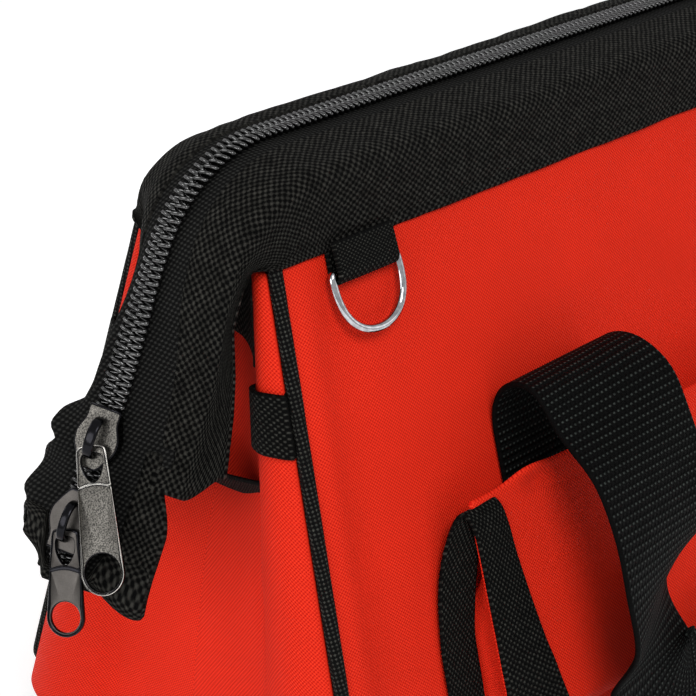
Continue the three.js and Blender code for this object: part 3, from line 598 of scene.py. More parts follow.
def bandGrid(s, side, v):
    # v runs across: 0 at the zip, ridgeShare on the ridge, 1 at the free edge, which past the corner lets
    # go of the seam and becomes the hanging hem
    b, m = band, mouth
    s, v = np.broadcast_arrays(s[:, None], v[None])
    s = s - b["hemSlant"] * smooth(v, b["slantFrom"], 1.0) * smooth(s, b["hemFrom"], m["earLength"])
    q = np.clip((v - b["ridgeShare"]) / (1 - b["ridgeShare"]), 0, 1)
    inner = mix(b["inner"], b["earInner"] if side < 0 else b["inner"], smooth(s, *b["innerEase"]))
    inner = mix(inner, b["ridge"], np.clip(v / b["ridgeShare"], 0, 1))
    pastCorner = np.maximum(-m["cornerStart"] - b["seamShare"] * s, -m["halfLength"] - b["wrap"])
    x = np.where(s > 0, pastCorner, -m["cornerStart"] - s)
    tuck = b["seamTuck"] * smooth(-x, m["halfLength"], b["seamEnd"])
    seam = point(x, side * (m["halfWidth"] + b["seamOut"] - tuck), b["seamHeight"])
    toSeam = seam - strip(s, side, b["ridge"] + b["reach"])
    fallen = strip(s, side, b["ridge"] + b["reach"] * q) + q[..., None] * toSeam
    folded = 1 if side > 0 else 0
    growth = np.maximum(2, (s - b["hemFrom"]) * b["hemGrowth"])
    hanging = strip(s, side, b["ridge"] + q * growth, 0, folded)
    outer = mix(fallen, hanging, smooth(s, *b["letGo"])[..., None])
    onTop = v < b["ridgeShare"]
    grid = np.where(onTop[..., None], strip(s, side, inner, 0, folded), outer)
    return grid, np.where(onTop, inner, b["ridge"] + b["reach"] * q)


def bandLift(run, v, across, side):
    # soft lumps in two sizes, and the pull of the stitch line above the free edge
    b = band
    lumps = b["lump"] * softNoise(run, across, b["lumpSize"], 11 + side)
    crumple = b["crumple"] * softNoise(run, across, b["crumpleSize"], 23 + side)
    stitches = b["stitchDepth"] * bell(v, b["stitchLine"], b["stitchWidth"])
    return (lumps + crumple) * smooth(v, 0, 0.12) - stitches


stitchColumns = band["stitchLine"] + np.linspace(-2, 2, 7) * band["stitchWidth"]
bandColumns = np.unique(np.round(np.concatenate([np.linspace(0, 1, 34), stitchColumns]), 4))


def bandPiece(name, s, run, side, end, sag=0.0):
    # the ear's lower edge is a rolled hem below a stitch line
    b = band
    grid, across = bandGrid(s, side, bandColumns)
    fromHem = mouth["earLength"] - s[:, None]
    roll = b["hemRoll"] * bell(fromHem, 3.5, 3) - b["hemDepth"] * bell(fromHem, b["hemStitch"], 0.9)
    lift = bandLift(run[:, None], bandColumns[None], across, side) + sag + roll
    parts = Parts()
    outward = (0.6 * end, 0.5 * side, 0.6)
    shell(parts, turned(grid, end, -1), b["half"], run[:, None], across, outward, lift, trim=(1, 1))
    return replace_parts(parts.make(name, coarseCloth), name)


for sideName, side in sides:
    s = stations(topRun, 0, 2.6)
    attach(bandPiece(f"{sideName}_mouth_band", s, s, side, -1), f"{sideName}_side")
    for endName, end in ends:
        s = stations(0, mouth["earLength"], 2.2)
        run = s if end < 0 else topRun - s
        rows, columns = s[:, None], bandColumns[None]
        fold = band["fold"] * np.sin(columns * 9 + rows * 0.05) * smooth(columns, 0.4, 0.7)
        fold = smooth(rows, *band["foldEase"]) * fold
        ear = bandPiece(f"{sideName}_ear_{endName}", s, run, side, end, fold)
        bendEar(ear, end)
print("mouth band and ears made")


# zip: woven tapes, and on each a nylon coil whose turns mesh with the other's half a turn along
zipSizes = {
    "tapeInner": 0.35, "tapeOuter": 16.0, "tapeFlare": 6.5, "flareEase": (30, 80), "tapeHalf": 0.45,
    "tapeLift": -0.1, "coilMiddle": 1.85, "coilHalfWidth": 2.2, "coilLift": 1.7, "coilHalfHeight": 0.8,
    "wire": 0.72, "pitch": 2.4, "square": 0.6, "coilEdge": 4.0,
}


def tapeStrip(parts, s, side, end):  # the tape's cloth; the front one widens down the ear
    z = zipSizes
    flare = z["tapeFlare"] * smooth(s, *z["flareEase"]) if side < 0 else 0 * s
    across = z["tapeInner"] + (z["tapeOuter"] + flare[:, None] - z["tapeInner"]) * np.linspace(0, 1, 17)
    grid = turned(strip(s[:, None], side, across, z["tapeLift"]), end, -1)
    shell(parts, grid, z["tapeHalf"], s[:, None], across * side, (0.6 * end, 0, 0.8), trim=(1, 1))


def coil(parts, a, b, side, end, look=0):
    # a flattened helix beside the middle line, one turn every pitch, 10 steps of 5 sides to a turn
    z = zipSizes
    turns = np.arange(math.ceil(a / z["pitch"] * 10), math.floor(b / z["pitch"] * 10) + 1) / 10
    angle = 2 * np.pi * (turns + (0.25 if side < 0 else 0.75))
    width, height = (blunted(wave, z["square"]) for wave in (np.cos(angle), np.sin(angle)))
    s = turns * z["pitch"]
    across = z["coilMiddle"] + z["coilHalfWidth"] * width
    lift = z["coilLift"] + z["coilHalfHeight"] * height
    place, beside = zipLine(s)[0], strip(s, side, z["coilEdge"])
    reach, facing = unit(beside - place), unit(strip(s, side, z["coilEdge"], 1.0) - beside)
    path = place + reach * across[:, None] + facing * lift[:, None]
    bar(parts, turned(path, end, -1), z["wire"], 5, (0.3, 0.1, 1), look=look)


for sideName, side in sides:
    parts = Parts()
    tapeStrip(parts, stations(topRun, 0, 4), side, -1)
    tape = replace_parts(parts.make(f"{sideName}_zip_tape", zipTwill), f"{sideName}_zip_tape")
    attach(tape, f"{sideName}_side")
    parts = Parts()
    coil(parts, topRun, 0, side, -1)
    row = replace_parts(parts.make(f"{sideName}_zip_coil", nylonCoil), f"{sideName}_zip_coil")
    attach(row, f"{sideName}_side")
    for endName, end in ends:
        parts = Parts()
        tapeStrip(parts, stations(0, mouth["tailStart"], 3), side, end)
        coil(parts, 0, mouth["tailStart"], side, end, look=1)
        name = f"{sideName}_ear_zip_{endName}"
        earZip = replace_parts(parts.make(name, zipTwill, nylonCoil), name)
        bendEar(earZip, end)

# the zip's tail: both halves below the ears, rippled where the sliders spread them, the mouth band's inner
# strip beside the front one, and a doubled cap sewn slantwise over the end
tail = {
    "coilEnd": 149, "clothEnd": {-1: 155, 1: 152}, "clothHalf": {-1: 0.45, 1: 0.5}, "frontCloth": 22.5,
    "strip": (108, 153), "stripInner": 15.5, "stripHalf": 0.85, "stripRise": 0.5, "frontWide": 27.2,
    "frontNeck": 19.0, "frontEase": (108, 132), "backLobes": (7.0, 16.5), "lobeEase": (95, 106),
    "swell": 2.8, "swellEase": (114, 120), "dents": ((2.6, 114, 2.5), (2.4, 134.5, 2.0)), "backTaper": 0.62,
    "taperEase": (141, 151), "ripple": {-1: 1.0, 1: 2.3}, "rippleShift": {-1: 1.4, 1: 0},
    "rippleLength": 21, "rippleStart": 106, "rippleEase": (98, 110), "rippleAcross": (5, 17), "calm": 0.6,
    "calmEase": (138, 146), "crumple": 0.12, "crumpleSize": 5,
}
tailCap = {
    "reach": (-28.0, 17.6), "front": (141, 166), "middle": (150.2, 154.6), "back": (134.5, 145.0),
    "cornerEase": (-24, 20), "slant": 10, "slantEase": (9, 29), "half": 1.7, "square": 0.6, "hole": 11,
    "backDrop": 4, "dropEase": (4, 8), "hump": 1.6, "humpHalf": 6.5, "lift": 0.2,
}


def tailWidth(s, side):
    # the cloth's reach from the middle: it widens below the ears, and the back one has two lobes
    t = tail
    if side < 0:
        return mix(t["frontNeck"], t["frontWide"], smooth(s, *t["frontEase"]))
    upper, lower = (depth * bell(s, at, width) for depth, at, width in t["dents"])
    lobes = mix(*t["backLobes"], smooth(s, *t["lobeEase"])) - upper
    lobes = lobes + t["swell"] * smooth(s, *t["swellEase"]) - lower
    return lobes * (1 - t["backTaper"] * smooth(s, *t["taperEase"]))


def tailLift(s, side, across):  # the ripples, strongest at the back edge
    t = tail
    wave = np.sin(2 * np.pi * (s - t["rippleStart"]) / t["rippleLength"] + t["rippleShift"][side])
    wave = t["ripple"][side] * wave * smooth(across, *t["rippleAcross"]) * smooth(s, *t["rippleEase"])
    return wave * (1 - t["calm"] * smooth(s, *t["calmEase"]))


def tailCloth(parts, span, side, end, inner, outer, half, rise=0, look=0):
    s = stations(*span, 1.3)[:, None]
    across = mix(inner, outer(s, side), np.linspace(0, 1, 15)[None])
    crumple = tail["crumple"] * softNoise(s, across, tail["crumpleSize"], 61 + side)
    lift = zipSizes["tapeLift"] + rise + tailLift(s, side, across) + crumple
    grid = turned(strip(s, side, across, lift), end, -1)
    shell(parts, grid, half, s, across * side, (0.6 * end, 0, 0.8), look=look, trim=(1, 1))


def capRings():
    # rows run from the front edge to the back one, each a flat ring round the tapes; by the middle the
    # rings start lower, which leaves room for the slider
    c = tailCap
    row = np.linspace(0, 1, 44)[:, None]
    turn = np.linspace(0, 2 * np.pi, 40, endpoint=False)[None]
    reach = mix(*c["reach"], row)
    middle = smooth(c["hole"] - np.abs(reach + 1) * (1 + 0.1 * (reach > 0)), 0, 3)
    drop = c["backDrop"] * smooth(reach, *c["dropEase"])
    start, stop = (
        mix(mix(front, back, smooth(reach, *c["cornerEase"])), low - drop, middle)
        for front, back, low in zip(c["front"], c["back"], c["middle"])
    )
    stop = stop - c["slant"] * (1 - smooth(-reach, *c["slantEase"])) * (reach < 0) * (1 - middle)
    blunt = np.sqrt(np.clip(1 - (2 * row - 1) ** 16, 0.02, 1))
    s = mix(start, stop, 0.5 + 0.5 * blunted(np.cos(turn), c["square"]) * mix(0.7, 1, blunt))
    across = np.abs(reach) + 0 * s
    height = blunted(np.sin(turn), c["square"]) * c["half"] * blunt
    hump = np.where(np.sin(turn) > 0, 1 + c["hump"] * smooth(c["humpHalf"] - np.abs(reach), 0, 3), 1)
    lift = c["lift"] + height * hump
    front, back = (strip(s, side, across, lift + tailLift(s, side, across)) for side in (-1, 1))
    return np.where((reach < 0)[..., None], front, back), reach, turn


for endName, end in ends:
    t = tail
    parts = Parts()
    for side, outer in ((-1, lambda s, side: t["frontCloth"] + 0 * s), (1, tailWidth)):
        span = mouth["tailStart"], t["clothEnd"][side]
        tailCloth(parts, span, side, end, zipSizes["tapeInner"], outer, t["clothHalf"][side])
    tailCloth(parts, t["strip"], -1, end, t["stripInner"], tailWidth, t["stripHalf"], t["stripRise"], look=2)
    for side in (-1, 1):
        coil(parts, mouth["tailStart"], t["coilEnd"], side, end, look=1)
    name = f"tail_zip_{endName}"
    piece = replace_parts(parts.make(name, zipTwill, nylonCoil, coarseCloth), name)
    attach(piece, "bag")

    parts = Parts()
    rings, reach, turn = capRings()
    tube(parts, turned(rings, end, -1), reach, turn / (2 * np.pi) * 34)
    name = f"tail_cap_{endName}"
    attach(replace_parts(parts.make(name, coarseCloth), name), "bag")
print("zip made")


# sliders: a waisted plate over the coil and one under the tapes, joined by a wedge and two lips, and a
# strap arched over the plate that holds the puller's bar. Their frame lies across the zip, up the tail and
# out of the tapes
slider = {
    "twist": math.radians(25), "top": 5.2, "plate": 1.4, "under": -1.3, "edge": 0.35, "lip": 0.5,
    "ups": (-9.9, -9.3, -7, -5, -3, -1, 1, 3, 5, 7, 9.1, 9.6),
    "halfWidths": (2.2, 3.2, 4.6, 5.8, 6.8, 7.1, 7.0, 6.2, 5.3, 5.0, 5.2, 4.9),
    "faceShare": 0.94, "faceSink": 0.4, "faceRise": 0.06, "faceEdge": 0.12, "wedgeUp": 6.2,
    "wedgeHalf": 2.4, "wedgeWide": (1.1, 0.9), "wedgeEdge": 0.2, "lipReach": 7.5, "lipFoot": 0.75,
    "lipBelow": 0.6, "strapReach": 5.7, "strapRise": 5.1, "strapHalf": 0.75, "strapSink": 0.5,
    "barDrop": 2.9, "barLift": 6.6,
}
upperSlider = {"at": 108.6, "headUp": -1, "strapWide": 1.6, "face": 1}
lowerSlider = {"at": 135.1, "headUp": 1, "strapWide": 1.3, "face": 2}
# the upper puller's rim edges carry the painted highlight; the lower one's stay black nickel
upperPuller = {
    "at": 108.6, "length": 44, "topHalf": 4.7, "endHalf": 6.8, "hole": 5.8, "swing": math.radians(25.5),
    "tilt": math.radians(2), "lift": 0.5, "half": 0.85, "recess": 0.4, "rim": 0.7, "face": 1, "rimHighlight": 3,
}
lowerPuller = {
    "at": 135.1, "length": 32, "topHalf": 4.3, "endHalf": 6.0, "hole": 4.7, "swing": math.radians(18.5),
    "tilt": math.radians(-1.5), "lift": -0.3, "half": 0.8, "recess": 0.2, "rim": 1.0, "face": 2, "rimHighlight": 0,
}
# both pullers' upper ends, measured up from the bar
pullerTop = {
    "arch": -11.4, "eye": -4.2, "eyeTop": 2.5, "eyeFoot": 6.2, "eyeWall": 1.25, "shoulder": -1.6,
    "crown": 2.3, "recess": 0.15, "rim": 0.45,
}


def sliderPlace(at, x, y, z):  # across the zip, up the tail and out of the tapes
    place, ahead, out = zipLine(at)
    across = np.array([0, -math.cos(slider["twist"]), 0]) - out * math.sin(slider["twist"])
    up = -ahead
    x, y, z = np.broadcast_arrays(np.asarray(x, float), y, z)
    return place + x[..., None] * across + y[..., None] * up + z[..., None] * np.cross(across, up)


def sliderOutline(headUp):  # up one side and down the other
    up = np.linspace(slider["ups"][0], slider["ups"][-1], 46)
    half = np.interp(up, slider["ups"], slider["halfWidths"])
    half = np.convolve(np.pad(half, 2, mode="edge"), np.ones(5) / 5, "valid")
    half[[0, -1]] = slider["halfWidths"][0], slider["halfWidths"][-1]
    loop = np.concatenate([np.stack([half, up], -1), np.stack([-half, up], -1)[::-1]])
    return loop if headUp < 0 else (loop * [1, -1])[::-1]


def puck(parts, loop, at, low, high, edge, look=0):
    # a flat part with rounded edges: rings of an outline, drawn in at both faces
    ahead = np.roll(loop, -1, 0) - np.roll(loop, 1, 0)
    inward = unit(np.stack([-ahead[:, 1], ahead[:, 0]], -1))
    rings = [(1.6, low), (1, low), (0.3, low + 0.3 * edge), (0, low + edge)]
    rings += [(0, high - edge), (0.3, high - 0.3 * edge), (1, high), (1.6, high)]
    grid = np.stack([sliderPlace(at, *(loop + inward * inset * edge).T, height) for inset, height in rings])
    tube(parts, grid, np.zeros((len(rings), 1)), np.arange(len(loop))[None] * 1.0, look)


def sliderMesh(c):
    m = slider
    parts = Parts()
    loop = sliderOutline(c["headUp"])
    puck(parts, loop, c["at"], m["top"] - m["plate"], m["top"], m["edge"])
    low, high = m["top"] - m["faceSink"], m["top"] + m["faceRise"]
    puck(parts, loop * m["faceShare"], c["at"], low, high, m["faceEdge"], look=c["face"])
    puck(parts, loop, c["at"], m["under"] - m["plate"], m["under"], m["edge"])
    (wide, narrow), high = m["wedgeWide"], m["wedgeHalf"]
    wedge = np.array([[wide, -high], [narrow, high], [-narrow, high], [-wide, -high]])
    wedge = wedge + [0, m["wedgeUp"] * c["headUp"]]
    puck(parts, wedge, c["at"], m["under"] - 0.3, m["top"] - 0.4, m["wedgeEdge"])
    side = loop[(loop[:, 0] > 0) & (np.abs(loop[:, 1]) < m["lipReach"])]
    wall = np.linspace(m["lipFoot"], m["top"] - m["lipBelow"], 6)[None]
    for edge in (-1, 1):
        x, y = edge * (side[:, :1] - m["lip"] - 0.05), side[:, 1:]
        shell(parts, sliderPlace(c["at"], x, y, wall), m["lip"], y, 0, (0, -edge, 0))
    a = np.linspace(0, np.pi, 30)
    rise = m["top"] - m["strapSink"] + (m["strapRise"] + m["strapSink"]) * np.sin(a) ** 0.6
    run = np.stack([-m["strapReach"] * np.cos(a), rise], -1)
    ahead = unit(np.gradient(run, axis=0))
    turn = np.linspace(0, 2 * np.pi, 20, endpoint=False)[None]
    wide, thick = c["strapWide"] * blunted(np.cos(turn), 0.5), m["strapHalf"] * blunted(np.sin(turn), 0.5)
    y, z = run[:, :1] + ahead[:, 1:] * thick, run[:, 1:] - ahead[:, :1] * thick
    tube(parts, sliderPlace(c["at"], wide, y, z), a[:, None], turn)
    return parts


def leafRing(parts, outer, centre, holeReach, rimOn, c):
    # the metal between a hole and an outline, both seen from the hole's middle: a sunk face with a raised
    # rim
    away = outer - centre
    inner = centre + unit(away) * holeReach(np.arctan2(away[:, 1], away[:, 0]))[:, None]
    wide = np.linalg.norm(outer - inner, axis=-1)
    half, edge = c["half"], np.minimum(0.3, 0.15 * wide)
    lip = wide - np.minimum(c["rim"], 0.4 * wide)
    sunk = half - c["recess"]
    high = sunk + c["recess"] * rimOn
    section = (
        (0, -half + edge), (0, sunk - edge), (edge, sunk), (1.4 * edge, sunk), (lip - 0.4, sunk),
        (lip - 0.32, sunk - 0.03), (lip - 0.16, sunk - 0.35), (lip, sunk), (lip + 0.08, high),
        (wide - edge, high), (wide, high - edge), (wide, -half + edge), (wide - edge, -half), (edge, -half),
    )
    rings = []
    for out, height in section:
        place = inner + unit(away) * np.broadcast_to(out, len(wide))[:, None]
        z, y = rotated(np.broadcast_to(height, len(wide)), place[:, 1], c["tilt"])
        x, y = rotated(place[:, 0], y, c["swing"])
        rings.append(sliderPlace(c["at"], x, y - slider["barDrop"], z + slider["barLift"] + c["lift"]))
    grid = np.stack(rings)
    rows, columns = grid.shape[:2]
    index = np.pad(np.arange(rows * columns).reshape(rows, columns), ((0, 1), (0, 1)), mode="wrap")
    face, rimHighlight = c["face"], c["rimHighlight"]
    # the rim's inner wall and outer edge take the pale metal of the painted highlight where the puller asks
    # for it
    looks = np.repeat((0, 0, face, face, face, 0, 0, rimHighlight, 0, rimHighlight, 0, 0, 0, 0), columns)
    parts.add(grid, np.zeros((rows * columns, 2)), gridQuads(index), look=looks)


def pullerMesh(c):
    # two rings of metal: one round the eye with the bar across its top, one round the hole at the wide end
    p = pullerTop
    parts = Parts()
    endUp = c["endHalf"] - c["length"]
    taper = (c["endHalf"] - c["topHalf"]) / -endUp
    archHalf = c["topHalf"] - taper * p["arch"]
    t = np.linspace(0, 1, 26)[1:]
    arch = np.stack([archHalf * (1 - 2 * t), p["arch"] + 1.0 * np.sin(np.pi * t)], -1)
    fall = np.linspace(p["arch"], endUp, 30)[1:]
    left = np.stack([-c["topHalf"] + taper * fall, fall], -1)
    bowl = np.pi * np.linspace(0, 1, 34)[1:-1]
    foot = np.stack([-c["endHalf"] * np.cos(bowl), endUp - c["endHalf"] * np.sin(bowl)], -1)
    outer = np.concatenate([arch, left, foot, (left * [-1, 1])[::-1]])
    rimOn = np.concatenate([0 * t, np.ones(len(outer) - len(t))])
    leafRing(parts, outer, np.array([0, endUp]), lambda angle: c["hole"] + 0 * angle, rimOn, c)

    a = np.linspace(0, np.pi, 30)[1:-1]
    crownUp = p["shoulder"] + p["crown"] * np.sin(a) ** 0.7
    crown = np.stack([c["topHalf"] * blunted(np.cos(a), 0.6), crownUp], -1)
    rise = np.linspace(p["arch"], p["shoulder"] - 0.2, 12)
    side = np.stack([c["topHalf"] - taper * rise, rise], -1)
    under = arch[::-1][1:-1] + [0, -0.6]
    outer = np.concatenate([side, crown, (side * [-1, 1])[::-1], under])
    rimOn = np.ones(len(outer))
    rimOn[-len(under):] = 0

    def eyeReach(angle):  # a blunt arch above the eye's middle and a pointed one below
        upper = np.sin(angle) > 0
        reach, power = np.where(upper, p["eyeTop"], p["eyeFoot"]), np.where(upper, 3.0, 1.7)
        sideways = (np.abs(np.cos(angle)) / (c["topHalf"] - p["eyeWall"])) ** power
        return (sideways + (np.abs(np.sin(angle)) / reach) ** power) ** (-1 / power)

    top = {**c, "recess": p["recess"], "rim": p["rim"]}
    leafRing(parts, outer, np.array([0, p["eye"]]), eyeReach, rimOn, top)
    return parts


for name, made in (
    ("upper_slider", sliderMesh(upperSlider)), ("lower_slider", sliderMesh(lowerSlider)),
    ("upper_puller", pullerMesh(upperPuller)), ("lower_puller", pullerMesh(lowerPuller)),
):
    piece = made.make(name, blackNickel, grainyNickel, satinNickel, rimHighlightMetal)
    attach(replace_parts(piece, name), name)
print("sliders and pullers made")


# side panels: padded cloth with a soft ridge beside the piping, a shallow valley inside it and a slight
# belly
panel = {
    "half": 1.0, "edgeGap": 1.9, "foot": 6, "ridge": 1.5, "ridgeIn": 8, "ridgeWide": 5.5, "valley": 1.0,
    "valleyIn": 22, "valleyWide": 9, "belly": 0.8, "bellyLength": 420, "lump": 0.5, "lumpSize": 60,
}


def drape(x, up):  # how far the cloth stands off the flat panel
    c = panel
    inside = panelEdge(up) - np.abs(x)
    ridge = c["ridge"] * bell(inside, c["ridgeIn"], c["ridgeWide"])
    valley = c["valley"] * bell(inside, c["valleyIn"], c["valleyWide"])
    rise = np.sin(np.pi * np.clip(up / panelHeight, 0, 1))
    belly = c["belly"] * np.cos(np.pi * x / c["bellyLength"]) * rise
    shape = (ridge - valley + belly) * smooth(up, 8, 30) * smooth(panelHeight + 4 - up, 0, 26)
    return shape + c["lump"] * softNoise(x, up, c["lumpSize"], 5)


def onCloth(x, up, out):  # a place on the draped panel
    x, up = np.broadcast_arrays(np.asarray(x, float), up)
    return onPanel(x, up, out + drape(x, up))


piping = {"radius": 2.35, "foot": 3.2, "corner": 9, "top": 1.0}


def pipingPath():
    # up one seam from a rounded corner at the foot, made whole by its mirror image; points every 1.5 mm or
    # so
    c = piping
    up = np.linspace(panelHeight - c["top"], c["foot"] + c["corner"], 110)
    side = np.stack([-panelEdge(up), up], -1)
    turn = np.linspace(0, np.pi / 2, 12)[1:]
    centre = side[-1] + [c["corner"], 0]
    bend = centre + c["corner"] * np.stack([-np.cos(turn), -np.sin(turn)], -1)
    run = np.stack([np.linspace(bend[-1, 0], 0, 130)[1:], np.full(129, c["foot"])], -1)
    half = np.concatenate([side, bend, run])
    whole = np.concatenate([half, (half * [-1, 1])[::-1][1:]])
    return onPanel(whole[:, 0], whole[:, 1], 0.0)


for sideName, side in sides:
    c = panel
    up = np.linspace(c["foot"], panelHeight - 0.2, 74)[:, None]
    share = np.linspace(-1, 1, 150)[None]
    share = np.sign(share) * (1 - (1 - np.abs(share)) ** 1.25)
    x = share * (panelEdge(up) - c["edgeGap"])
    parts = Parts()
    shell(parts, turned(onCloth(x, up, 0.0), -1, side), c["half"], x, up, (0, side, 0.3))
    name = f"{sideName}_panel"
    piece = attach(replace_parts(parts.make(name, redOxford), name), f"{sideName}_side")
    parts = Parts()
    path = turned(pipingPath(), -1, side)
    radius = piping["radius"] * (1 + 0.03 * softNoise(np.arange(len(path)), 0, 4, 8))
    bar(parts, path, radius, 14, (0, side, 0.3))
    name = f"{sideName}_piping"
    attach(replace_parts(parts.make(name, biasCloth), name), f"{sideName}_side")


# end panels: a strip that bulges beside each seam, a crease, and a middle that hangs in towards the bag
# facing, with the two sizes after it, places the black sheet of painted shade under the ear
endPanel = {
    "half": 0.8, "foot": 18.2, "top": 207, "fromSeam": (2, 2.4), "recess": 12, "recessBelow": 20,
    "bulge": 0.2, "wide": 4, "widen": 0.184, "crease": 2.0, "wrinkle": 1.2, "wrinkleSize": 34,
    "pucker": 0.5, "puckerSize": 12, "facing": 177, "shadeSheetHalf": 0.6, "shadeSheetOff": 1.6,
}


def endGrid(z, t):
    # t from 0 at the seam: 0 to 1 is the bulging strip, 1 to 2 the recessed half up to the middle
    c, m = endPanel, mouth
    width = c["wide"] + c["widen"] * (m["bandFoot"] - z)
    x, y = seamX(z) - c["fromSeam"][0], seamY(z) + c["fromSeam"][1]
    recess = c["recess"] * smooth(z, m["panelFoot"] + c["recess"], m["bandFoot"] - c["recessBelow"])
    a, b = np.clip(t, 0, 1), np.clip(t - 1, 0, 1)
    bulge = c["bulge"] * width * np.sin(np.pi * a) ** 0.8
    hollow = (c["crease"] * smooth(b, 0, 0.1) + recess * np.sin(b * np.pi / 2)) * (b > 0)
    outY = np.where(t <= 1, y + width * a, mix(y + width, 0, b))
    wrinkle = c["wrinkle"] * softNoise(z, outY, c["wrinkleSize"], 71) * smooth(b, 0.05, 0.3)
    pucker = c["pucker"] * softNoise(z, outY, c["puckerSize"], 72) * bell(t, 1.06, 0.1)
    return point(x - bulge + hollow + (wrinkle + pucker), outY, z)


def bendEnd(piece):
    # works out the places 27 mm and 1 mm behind the side's plane, where the cloth would begin to follow the
    # side and follow it fully, but uses neither and only bakes its place
    a, b = (onPanel(-205, 100.0, out) for out in (-27.0, -1.0))
    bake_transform(piece)


endStrap = {
    "height": 163, "width": 18, "half": 0.75, "off": 2.1, "dip": 1.5, "tuck": (3.0, 2.0, 0),
    "intoFold": (14.0, -2.0, 0), "drop": 27, "sag": 5, "turn": 4.5, "lean": 4, "intoStrip": 2, "behind": 3,
    "slackLength": 70,
}


def endStrapGrid(edge, t):
    # round the bulging strip from the seam, and over the crease into the fold
    c = endStrap
    z = c["height"] + edge * c["width"] / 2 - c["dip"] * smooth(t, 0.2, 1)
    over = np.clip(t, 0, 1)
    place = endGrid(z, over)
    ahead = endGrid(z, np.clip(over + 0.01, 0, 1)) - endGrid(z, np.clip(over - 0.01, 0, 1))
    outward = unit(np.cross(ahead, [0, 0, 1.0]))
    place = place + outward * np.where(outward[..., :1] < 0, 1, -1) * c["off"]
    return place + np.clip(t - 1, 0, 1)[..., None] * c["intoFold"]


def slackStrapGrid(edge, t):
    # out of the fold again below, hanging slack and half turned to the middle of the end
    c = endStrap
    start = endGrid(c["height"] - c["drop"], 1.0)
    drop = c["height"] - c["drop"] - c["sag"] * np.sin(t * np.pi / 2)
    start = start + [c["behind"], -c["intoStrip"], 0]
    return point(start[0] - c["lean"] * edge, mix(start[1], 0, t), drop + edge * c["turn"])


for endName, end in ends:
    for sideName, side in sides:
        c = endPanel
        z = np.linspace(c["foot"], c["top"], 78)[:, None]
        t = np.concatenate([np.linspace(0, 1, 20), np.linspace(1, 2, 30)[1:]])[None]
        grid = endGrid(z + 0 * t, t + 0 * z)
        parts = Parts()
        shell(parts, turned(grid, end, side), c["half"], lengths(grid, 1), z, (end, 0, 0))
        # a black sheet over the top of the recessed half: painted shade for the shadow under the ear
        z, t = np.linspace(c["facing"], c["top"] + 1, 14)[:, None], np.linspace(1.03, 2, 26)[None]
        grid = endGrid(z + 0 * t, t + 0 * z) - [c["shadeSheetOff"], 0, 0]
        shell(parts, turned(grid, end, side), c["shadeSheetHalf"], lengths(grid, 1), z, (end, 0, 0), look=1)
        piece = parts.make(f"end_panel_{endName}_{sideName}", redOxford, coarseCloth)
        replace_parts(piece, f"end_panel_{endName}")
        bendEnd(piece)

        edge = np.linspace(-1, 1, 12)[:, None]
        t = np.concatenate([np.linspace(-0.12, 1, 50), np.linspace(1, 1.25, 10)[1:]])[None]
        grid = endStrapGrid(edge + 0 * t, t + 0 * edge)
        run, wide = lengths(grid, 1), edge * endStrap["width"] / 2
        grid = grid + smooth(-t, 0, 0.12)[..., None] * endStrap["tuck"]
        parts = Parts()
        shell(parts, turned(grid, end, side), endStrap["half"], run, wide, (end, 0, 0))
        t = np.linspace(0, 1, 24)[None]
        grid, run = slackStrapGrid(edge + 0 * t, t + 0 * edge), t * endStrap["slackLength"]
        shell(parts, turned(grid, end, side), endStrap["half"], run, wide, (end, 0, 0))
        piece = parts.make(f"end_strap_{endName}_{sideName}", bindingTape)
        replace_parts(piece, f"end_strap_{endName}")
        bendEnd(piece)
print("panels, piping and ends made")


# pockets: a shallow bellows of cloth on each side, bound with tape that climbs the panel, closes the
# gusset's top, folds over the hem's end and comes down the face's edge, wider towards the foot
pocket = {
    "halfLength": 151, "foot": 22, "hem": 107, "hemRise": 1.8, "hemBump": 1.9, "hemLump": 0.5,
    "endDepth": 11.6, "belly": 6.5, "behind": 1.2, "half": 0.8, "corner": 6, "puff": 1.6, "crease": 1.3,
    "foldIn": 27, "slump": 1.4, "lump": 0.7, "seam": 9, "seamDepth": 0.5, "pleat": 4, "gussetTop": 92,
    "gussetSlope": 22, "gussetHalf": 0.6,
}
binding = {
    "half": 0.7, "crown": 0.5, "lump": 0.22,
    "at": (0, 0.3, 0.37, 0.43, 0.475, 0.505, 0.535, 0.57, 0.63, 0.76, 1),
    "left": (
        (-168, 22, 2.2), (-166.5, 62, 2.3), (-164.5, 76, 2.6), (-161.5, 88, 3.6), (-158, 99, 6.8),
        (-155.8, 106, 10.4), (-154, 104.5, 12.6), (-151.6, 98, 12.6), (-151, 86, 12.3), (-151, 60, 12.2),
        (-151, 28, 12.2),
    ),
    "right": (
        (-153.5, 22, 2.2), (-152, 62, 2.6), (-151.2, 76, 5.6), (-149.8, 88, 8.6), (-146.5, 99, 10.6),
        (-143, 107.6, 11.8), (-140.6, 105.5, 13.9), (-138.6, 98, 13.7), (-137.4, 86, 13.6),
        (-133.5, 60, 14.2), (-126, 28, 14.6),
    ),
}


def pocketDepth(x):
    c = pocket
    return c["endDepth"] + c["belly"] * np.cos(np.pi * np.asarray(x, float) / (2 * c["halfLength"])) ** 0.8


